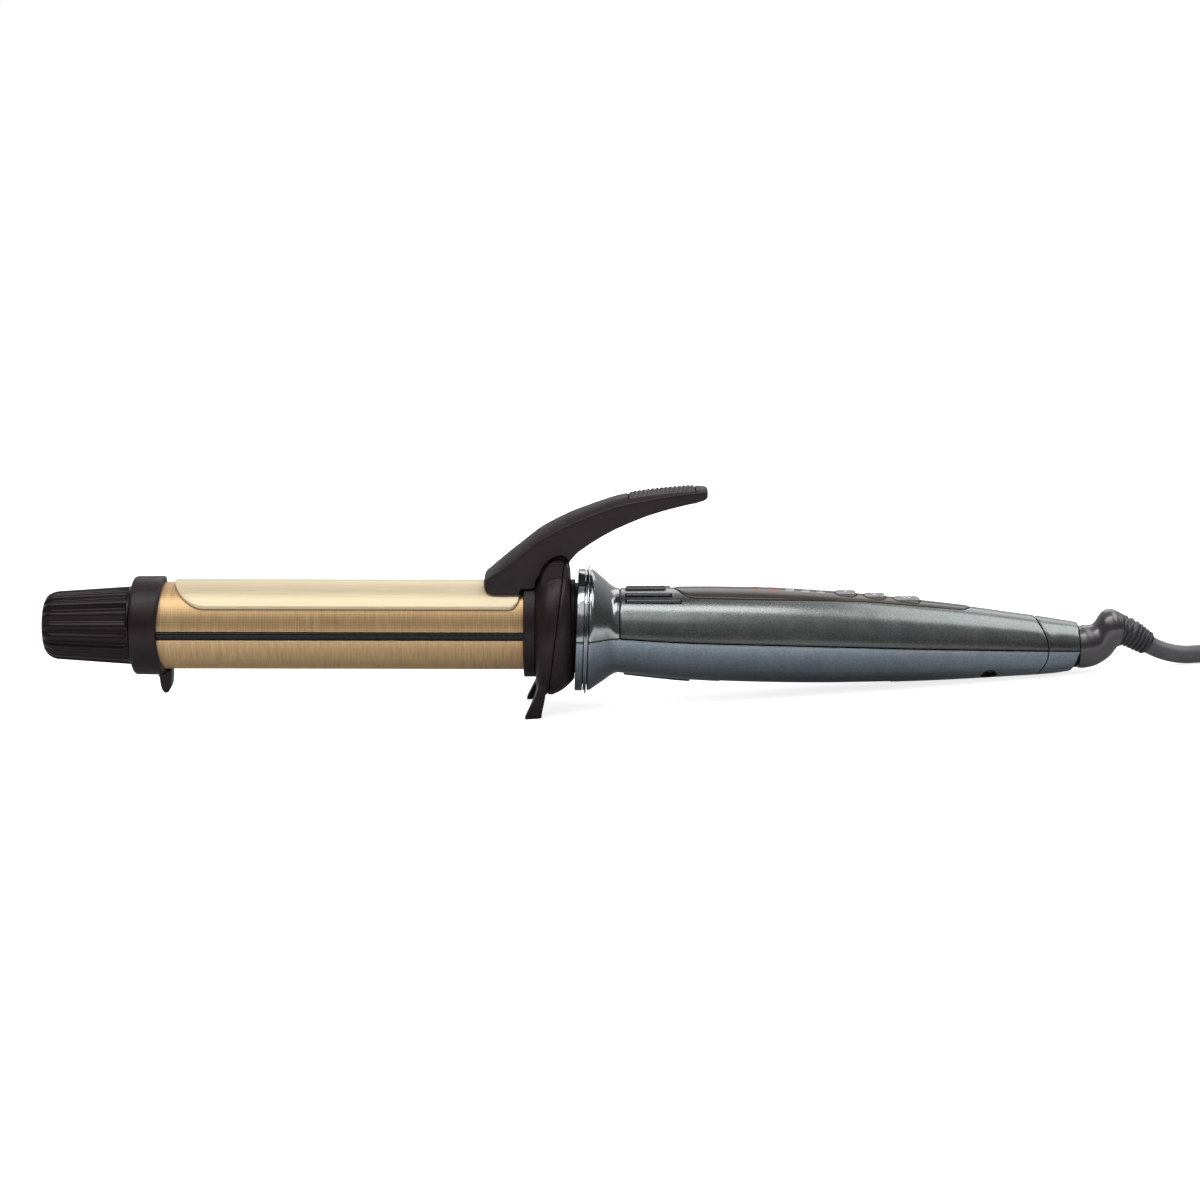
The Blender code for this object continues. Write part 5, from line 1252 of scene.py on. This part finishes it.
rating = mesh_object("rating_plate_blank", *plate_loops(0.0, -0.15, -0.75))
soften(rating, 0.12, 2, 40)
place(rating, BLACK_GLOSS, "iron", ("rating_plate",))
screw_cuts = []
for tag, y in (("near", -5.7), ("far", 5.7)):
    zc, r = handle(124.3)
    deck = zc - math.sqrt(r * r - y * y)
    screw_cuts += [bridge([[(px, py, z) for px, py in circle(124.3, y, 2.45, 40)] for z in (deck - 4.0, deck + 2.3)]),
                   bridge([[(px, py, z) for px, py in circle(124.3, y, 1.4, 32)] for z in (deck - 1.0, deck + 6.0)])]
    head = mesh_object("case_screw_head_" + tag, *bridge(
        [[(px, py, deck + 1.3) for px, py in circle(124.3, y, 1.3, 32)], [(px, py, deck + 1.4) for px, py in circle(124.3, y, 1.75, 32)],
         [(px, py, deck + 2.1) for px, py in circle(124.3, y, 1.95, 32)], [(px, py, deck + 2.15) for px, py in circle(124.3, y, 1.05, 32)],
         [(px, py, deck + 6.0) for px, py in circle(124.3, y, 1.05, 32)]]), sharp=40)
    carve(head, "DIFFERENCE", box(124.3 - 1.1, 124.3 + 1.1, y - 0.2, y + 0.2, deck - 1, deck + 1.8))
    carve(head, "DIFFERENCE", box(124.3 - 0.2, 124.3 + 0.2, y - 1.1, y + 1.1, deck - 1, deck + 1.8))
    place(head, SCREW_DARK, "iron", ("case_screw_" + tag,))
    # painted shade: a black sleeve lining the recess walls so the recess shows dark, trimmed flush with the shell
    recess_shade = mesh_object("case_screw_recess_shade_" + tag, *bridge([[(px, py, z) for px, py in circle(124.3, y, rr, 40)]
                                                          for rr, z in ((2.44, deck - 4.0), (2.44, deck + 2.28), (2.12, deck + 2.28), (2.12, deck - 4.0))], closed=True))
    carve(recess_shade, "INTERSECT", bridge([[(x, (handle(x)[1] - 0.05) * math.sin(2 * math.pi * i / 96), handle(x)[0] + (handle(x)[1] - 0.05) * math.cos(2 * math.pi * i / 96))
                                      for i in range(96)] for x in linspace(120.0, 128.6, 9)]))
    place(recess_shade, NECK_BLACK, "iron", ())
carve(lower, "DIFFERENCE", plate_loops(GAP, 2.0, -0.75 - GAP))
carve(lower, "DIFFERENCE", *screw_cuts[0::2])
carve(lower, "DIFFERENCE", *screw_cuts[1::2])
for shell, mat, node, slot_name in ((upper, GUNMETAL, "handle_upper", "shell_gunmetal"), (lower, BLUEGREY, "handle_lower", "shell_bluegrey")):
    lean_flange(shell)
    shell.data.shade_smooth()
    shell.data.set_sharp_from_angle(angle=math.radians(38))
    place(shell, mat, "iron", (node,))


# ------------------------------------------------------------------ buttons, symbols and scale
def symbol(outlines, z0, z1):
    return merged([bridge([[(x, y, z) for x, y in o] for z in (z0, z1)]) for o in outlines])


def bar(cx, cy, hx, hy):
    return rounded_rect(cx - hx, cx + hx, cy - hy, cy + hy, min(hx, hy) * 0.6, 3)


for name, x0, x1 in BUTTONS:
    zc, r = handle((x0 + x1) / 2)
    top_z = zc + r + BUTTON_PROUD
    cx = (x0 + x1) / 2
    outline = rounded_rect(x0, x1, -BUTTON_HALF, BUTTON_HALF, 1.6, 10)
    rings = [[(x, y, top_z - 5.2) for x, y in outline]]
    for drop_z, inset in ((0.55, 0.0), (0.32, 0.03), (0.16, 0.12), (0.05, 0.30), (0.0, 0.55), (0.03, 0.9), (0.10, 1.3)):
        rings.append([(cx + (x - cx) * (1 - inset / ((x1 - x0) / 2)), y * (1 - inset / BUTTON_HALF), top_z - drop_z) for x, y in outline])
    cap = mesh_object(name + "_cap", *bridge(rings), sharp=50)
    place(cap, BUTTON_MAT, name + "_body", (name,))
    if name == "button_minus":
        marks = [bar(cx, 0.0, 0.22, 1.0)]
    elif name == "button_plus":
        marks = [bar(cx, 0.0, 0.22, 1.0), bar(cx, 0.61, 0.39, 0.22), bar(cx, -0.61, 0.39, 0.22)]
        marks = [bar(cx, 0.0, 0.22, 1.0), bar(cx + 0.61, 0.0, 0.39, 0.22), bar(cx - 0.61, 0.0, 0.39, 0.22)]
    else:
        n = 26
        ring_o = [(cx + 1.15 * math.cos(a), 1.15 * math.sin(a)) for a in [math.radians(-145 + 290 * i / n) for i in range(n + 1)]]
        ring_i = [(cx + 0.82 * math.cos(a), 0.82 * math.sin(a)) for a in [math.radians(145 - 290 * i / n) for i in range(n + 1)]]
        marks = [ring_o + ring_i, bar(cx - 0.95, 0.0, 0.62, 0.17)]
    mark = mesh_object(name + "_mark", *symbol(marks, top_z - 0.25, top_z - 0.045), sharp=40)
    place(mark, WHITE_MARK, name + "_body", ())


def numeral(text, cx, size):
    """Outline numerals laid across the panel, read from the tail end, as a flat mesh in (x, y)."""
    curve = bpy.data.curves.new("numeral", "FONT")
    curve.body = text
    curve.size = size
    curve.align_x = "CENTER"
    curve.align_y = "CENTER"
    curve.extrude = 0.03
    curve.resolution_u = 3
    tmp = bpy.data.objects.new("numeral", curve)
    bpy.context.scene.collection.objects.link(tmp)
    bpy.context.view_layer.update()
    mesh = bpy.data.meshes.new_from_object(tmp.evaluated_get(bpy.context.evaluated_depsgraph_get()))
    verts = [(cx - v.co.y, v.co.x, v.co.z) for v in mesh.vertices]
    faces = [tuple(p.vertices) for p in mesh.polygons]
    bpy.data.objects.remove(tmp, do_unlink=True)
    bpy.data.curves.remove(curve)
    bpy.data.meshes.remove(mesh)
    out = []
    for x, y, z in verts:
        zc, r = handle(x)
        out.append((x, y, zc + math.sqrt((r + 0.25) ** 2 - y * y) + 0.015 + z * 0.8))
    return out, faces


reds = merged([numeral("200", 54.6, 3.7), numeral("190", 59.7, 3.7)])
pales = merged([numeral("180", 64.8, 3.7), numeral("160", 69.5, 3.7), numeral("140", 74.0, 3.7)])
place(mesh_object("scale_high", *reds), RED_MARK, "iron", ())
place(mesh_object("scale_low", *pales), WHITE_MARK, "iron", ())

# dark tongues behind the seams of the shells: they close the gaps, and their black is painted shade in the seams
zc, r = handle(13.9)
neck_seam_shade = mesh_object("seam_neck", *half_loops([(13.62, zc, r - 0.35, 0.0), (13.88, zc, r - 0.35, 0.0)],
                                                 [(13.62, zc, r - WALL - 0.6, 0.0), (13.88, zc, r - WALL - 0.6, 0.0)], 1, 44, 0.2, 0.1), 38)
place(neck_seam_shade, NECK_BLACK, "iron", ())
for side, name in ((1, "seam_tail_top"), (-1, "seam_tail_bottom")):
    x0, x1 = SHELL_X1 + 0.02, SLEEVE_X0 - 0.02
    zc, r = handle(x0)
    seam_tongue_shade = mesh_object(name, *half_loops([(x0, zc, r - 0.4, SLEEVE_BOW), (x1, zc, r - 0.4, SLEEVE_BOW)],
                                           [(x0, zc, r - WALL - 0.2, SLEEVE_BOW), (x1, zc, r - WALL - 0.2, SLEEVE_BOW)], side, 44, 0.12, 0.1), 38)
    place(seam_tongue_shade, NECK_BLACK, "iron", ())
bush = mesh_object("swivel_bush", *turned([(147.9, 4.9), (147.9, 6.1), (151.0, 6.15), (151.3, 6.0), (151.3, 4.9)], 64, SWIVEL_Z), sharp=40)
place(bush, NECK_BLACK, "iron", ())

# ------------------------------------------------------------------ tail sleeve, swan-neck swivel and cord guard
sleeve_x = [SLEEVE_X0, SLEEVE_X0 + 0.1, SLEEVE_X0 + 0.3, 140.0, 142.0, 144.0, 146.0, 148.0, 149.6, 150.6, 151.0, SLEEVE_X1]


def sleeve_rows(slant, side):
    rows_o, rows_i = [], []
    for k, x in enumerate(sleeve_x):
        zc, r = handle(x)
        bow = SLEEVE_BOW * (1 - smooth(SLEEVE_X0, 146.0, x))
        shy = {0: 0.16, 1: 0.05, len(sleeve_x) - 1: 0.22, len(sleeve_x) - 2: 0.06}.get(k, 0.0)
        rows_o.append((x, zc, r - shy, bow))
        ri = 6.45 if x < 150.9 else 5.2
        rows_i.append((x, zc, min(ri, r - shy - 0.4), bow))
    return rows_o, rows_i


geoms = []
for side, name in ((1, "sleeve_top"), (-1, "sleeve_bottom")):
    ro, ri = sleeve_rows(0, side)
    verts, faces = half_loops(ro, ri, side, 44, 0.08, 0.2)
    if side < 0:
        # the lower half's end leans forward towards its keel
        zc = handle(SLEEVE_X1)[0]
        verts = [(x - 2.0 * smooth(144.5, SLEEVE_X1, x) * max(0.0, min(1.0, (zc - z) / 7.0)), y, z) for x, y, z in verts]
    obj = mesh_object(name, verts, faces, 38)
    place(obj, GUNMETAL if side > 0 else BLUEGREY, "iron", ("rear_sleeve",))


def disc(x, z, r, direction, n=64):
    a = math.radians(direction)
    return [(x - r * math.cos(2 * math.pi * i / n) * math.sin(a), r * math.sin(2 * math.pi * i / n),
             z + r * math.cos(2 * math.pi * i / n) * math.cos(a)) for i in range(n)]


elbow_rows = curve_rows(ELBOW, 41)
elbow_rings = [disc(*elbow_rows[0][:2], elbow_rows[0][2] - 0.3, elbow_rows[0][3])] + [disc(*row) for row in elbow_rows]
fine_rows = curve_rows(ELBOW, 321)[::-1]
neck_run = [0.0]
for a, b in zip(fine_rows, fine_rows[1:]):
    neck_run.append(neck_run[-1] + math.hypot(b[0] - a[0], b[1] - a[1]))


def neck_row(back):
    """The swan neck's centre, radius and direction at a distance back from its open end."""
    k = next((i for i, d in enumerate(neck_run) if d >= back), len(neck_run) - 1)
    return fine_rows[k]


# the neck's end runs on as a thinner core under the cord guard
GUARD_BACK = 2.64
shaped = []
for x, z, r, d in elbow_rows:
    back = neck_run[min(range(len(fine_rows)), key=lambda i: math.hypot(fine_rows[i][0] - x, fine_rows[i][1] - z))]
    shaped.append(disc(x, z, r if back > GUARD_BACK - 0.05 else r - 0.8, d))
shaped.append(disc(ELBOW[-1][0], ELBOW[-1][1], ELBOW[-1][2] - 1.0, ELBOW[-1][3]))
elbow = mesh_object("swan_neck", *bridge([elbow_rings[0]] + shaped), sharp=50)
carve(elbow, "UNION", rod([(138.9, 2.4), (140.9, 2.4), (140.9, 4.5), (154.0, 4.5)], 48, SWIVEL_Z))
elbow.data.shade_smooth()
elbow.data.set_sharp_from_angle(angle=math.radians(50))
place(elbow, ELBOW_MAT, "swivel_tail", ("swivel_elbow",))

ux, uz = math.cos(drop), -math.sin(drop)
guard = []
RIBS = 5
for k in range(RIBS):
    s0, pl = RELIEF_LEN * k / RIBS, RELIEF_LEN / RIBS
    r = 4.3 + (3.7 - 4.3) * k / (RIBS - 1)
    guard += [(s0 + 0.05, r - 0.18), (s0 + 0.14, r - 0.04), (s0 + 0.3, r), (s0 + pl * 0.5, r), (s0 + pl * 0.58, r - 0.06), (s0 + pl * 0.64, r - 0.22),
              (s0 + pl * 0.68, r - 0.6)]
    if k < RIBS - 1:
        guard += [(s0 + pl * 0.98, r - 0.62)]
first = [(-GUARD_BACK + 0.02, neck_row(GUARD_BACK)[2] - 0.9)]
for s0 in (-GUARD_BACK, -GUARD_BACK / 2):
    r = neck_row(-s0 - 0.3)[2]
    first += [(s0 + 0.05, r - 0.18), (s0 + 0.14, r - 0.04), (s0 + 0.3, r), (s0 + 0.66, r - 0.02), (s0 + 0.77, r - 0.08), (s0 + 0.85, r - 0.24),
              (s0 + 0.9, r - 0.6), (s0 + 1.28, r - 0.62)]
guard = first + guard + [(RELIEF_LEN + 0.1, 3.06), (RELIEF_LEN + 0.2, 2.95)]
rings = []
for s, r in guard:
    if s < 0:
        x, z, _, d = neck_row(-s)
        rings.append(disc(x, z, r, d, 48))
        continue
    c = Vector((RELIEF_X + s * ux, 0.0, RELIEF_Z + s * uz))
    u = Vector((-uz, 0.0, ux))
    rings.append([tuple(c + r * (math.cos(2 * math.pi * i / 48) * u + math.sin(2 * math.pi * i / 48) * Vector((0, 1, 0)))) for i in range(48)])
place(mesh_object("cord_guard", *bridge(rings), sharp=55), RUBBER, "swivel_tail", ("strain_relief",))

# ------------------------------------------------------------------ inner parts keep their CAD shape
INNER = {"tip_insulator": CERAMIC, "heat_spreader_upper": ALUMINIUM, "heat_spreader_lower": ALUMINIUM, "ptc_heater": CERAMIC,
         "thermistor": BLACK_GLOSS, "tip_screw": STEEL, "torsion_spring": STEEL, "clip_rivet_front": STEEL, "clip_rivet_rear": STEEL,
         "circuit_board": BOARD, "switch_minus": BLACK_GLOSS, "switch_plus": BLACK_GLOSS, "switch_power": BLACK_GLOSS,
         "indicator_block": CERAMIC, "power_triac": BLACK_GLOSS, "capacitor": CAPACITOR, "heater_lead_near": RUBBER,
         "heater_lead_far": RUBBER, "mains_wire_near": RUBBER, "mains_wire_far": RUBBER, "swivel_retainer": STEEL,
         "slip_ring": BRASS, "brush_block": CERAMIC}
for name, node in frame["nodes"].items():
    if node.hide_render:
        continue
    if name not in INNER:
        print("no inner material for", name)
    node.data.materials.clear()
    node.data.materials.append(INNER.get(name, BLACK_GLOSS))

# ------------------------------------------------------------------ floor, world and lights
floor_mat = bpy.data.materials.new("floor_pale")
floor_mat.use_nodes = True
fb = floor_mat.node_tree.nodes["Principled BSDF"]
fb.inputs["Base Color"].default_value = (0.80, 0.80, 0.80, 1)
fb.inputs["Roughness"].default_value = 0.9
fb.inputs["Specular IOR Level"].default_value = 0.1
fb.inputs["Emission Color"].default_value = (1, 1, 1, 1)
floor_path = floor_mat.node_tree.nodes.new("ShaderNodeLightPath")
floor_coord = floor_mat.node_tree.nodes.new("ShaderNodeTexCoord")
floor_split = floor_mat.node_tree.nodes.new("ShaderNodeSeparateXYZ")
floor_mat.node_tree.links.new(floor_coord.outputs["Object"], floor_split.inputs[0])
floor_front = floor_mat.node_tree.nodes.new("ShaderNodeMapRange")
floor_mat.node_tree.links.new(floor_split.outputs["Y"], floor_front.inputs[0])
for s, v in zip(floor_front.inputs[1:5], (-0.085, -0.022, 0.95, 0.06)):
    s.default_value = v
floor_tail = floor_mat.node_tree.nodes.new("ShaderNodeMapRange")
floor_mat.node_tree.links.new(floor_split.outputs["X"], floor_tail.inputs[0])
for s, v in zip(floor_tail.inputs[1:5], (0.06, 0.13, 0.0, 0.16)):
    s.default_value = v
floor_sum = floor_mat.node_tree.nodes.new("ShaderNodeMath")
floor_sum.operation = "MAXIMUM"
floor_mat.node_tree.links.new(floor_front.outputs[0], floor_sum.inputs[0])
floor_mat.node_tree.links.new(floor_tail.outputs[0], floor_sum.inputs[1])
floor_glow = floor_mat.node_tree.nodes.new("ShaderNodeMix")
floor_mat.node_tree.links.new(floor_sum.outputs[0], floor_glow.inputs[2])
floor_mat.node_tree.links.new(floor_path.outputs["Is Camera Ray"], floor_glow.inputs[0])

floor_glow.inputs[3].default_value = 0.80
floor_mat.node_tree.links.new(floor_glow.outputs[0], fb.inputs["Emission Strength"])
floor_tone = floor_mat.node_tree.nodes.new("ShaderNodeMix")
floor_tone.data_type = "RGBA"
floor_mat.node_tree.links.new(floor_path.outputs["Is Camera Ray"], floor_tone.inputs[0])
floor_tone.inputs[6].default_value = (0.40, 0.40, 0.40, 1)
floor_tone.inputs[7].default_value = (0.80, 0.80, 0.80, 1)
floor_mat.node_tree.links.new(floor_tone.outputs[2], fb.inputs["Base Color"])
fmesh = bpy.data.meshes.new("floor")
n = 96
ringv = [(30 * math.cos(2 * math.pi * i / n), 30 * math.sin(2 * math.pi * i / n), -0.00005) for i in range(n)]
fmesh.from_pydata(ringv, [], [tuple(range(n))])
fmesh.materials.append(floor_mat)
floor = bpy.data.objects.new("floor", fmesh)
bpy.context.scene.collection.objects.link(floor)

world_data = bpy.data.worlds.new("studio")
bpy.context.scene.world = world_data
world_data.use_nodes = True
wt = world_data.node_tree
wt.nodes.clear()
out = wt.nodes.new("ShaderNodeOutputWorld")
shown = wt.nodes.new("ShaderNodeBackground")
shown.inputs["Color"].default_value = (1, 1, 1, 1)
lit = wt.nodes.new("ShaderNodeBackground")
coord = wt.nodes.new("ShaderNodeTexCoord")
sep = wt.nodes.new("ShaderNodeSeparateXYZ")
wt.links.new(coord.outputs["Generated"], sep.inputs[0])
up_amount = wt.nodes.new("ShaderNodeMapRange")
up_amount.interpolation_type = "SMOOTHSTEP"
wt.links.new(sep.outputs["Z"], up_amount.inputs[0])
for s, v in zip(up_amount.inputs[1:5], (0.15, 0.8, 0.10, 0.36)):
    s.default_value = v
far_amount = wt.nodes.new("ShaderNodeMapRange")
far_amount.interpolation_type = "SMOOTHSTEP"
wt.links.new(sep.outputs["Y"], far_amount.inputs[0])
for s, v in zip(far_amount.inputs[1:5], (0.0, 0.9, 0.0, 0.55)):
    s.default_value = v
total = wt.nodes.new("ShaderNodeMath")
total.operation = "ADD"
wt.links.new(up_amount.outputs[0], total.inputs[0])
wt.links.new(far_amount.outputs[0], total.inputs[1])
wt.links.new(total.outputs[0], lit.inputs["Strength"])
path_node = wt.nodes.new("ShaderNodeLightPath")
mixer = wt.nodes.new("ShaderNodeMixShader")
wt.links.new(path_node.outputs["Is Camera Ray"], mixer.inputs[0])
wt.links.new(lit.outputs[0], mixer.inputs[1])
wt.links.new(shown.outputs[0], mixer.inputs[2])
wt.links.new(mixer.outputs[0], out.inputs[0])


def area(name, location, target, size_x, size_y, power, colour=(1, 1, 1)):
    data = bpy.data.lights.new(name, "AREA")
    data.shape = "RECTANGLE"
    data.size, data.size_y = size_x, size_y
    data.energy = power
    data.color = colour
    obj = bpy.data.objects.new(name, data)
    bpy.context.scene.collection.objects.link(obj)
    obj.location = location
    obj.rotation_euler = (Vector(target) - Vector(location)).to_track_quat("-Z", "Y").to_euler()
    return obj


area("overhead_strip", (-0.26, -0.21, 0.88), (-0.26, 0.0, 0.02), 1.0, 0.26, 5.0)
area("tail_soft", (0.62, 0.04, 0.80), (0.14, 0.0, 0.02), 0.8, 0.6, 5.0)
area("front_soft", (-0.4, -1.1, 1.6), (0.0, 0.0, 0.02), 1.2, 0.8, 5.0)
area("rear_soft", (0.4, 1.6, 1.2), (0.0, 0.0, 0.02), 1.6, 0.9, 7.0)

bpy.context.scene.view_settings.view_transform = "Standard"
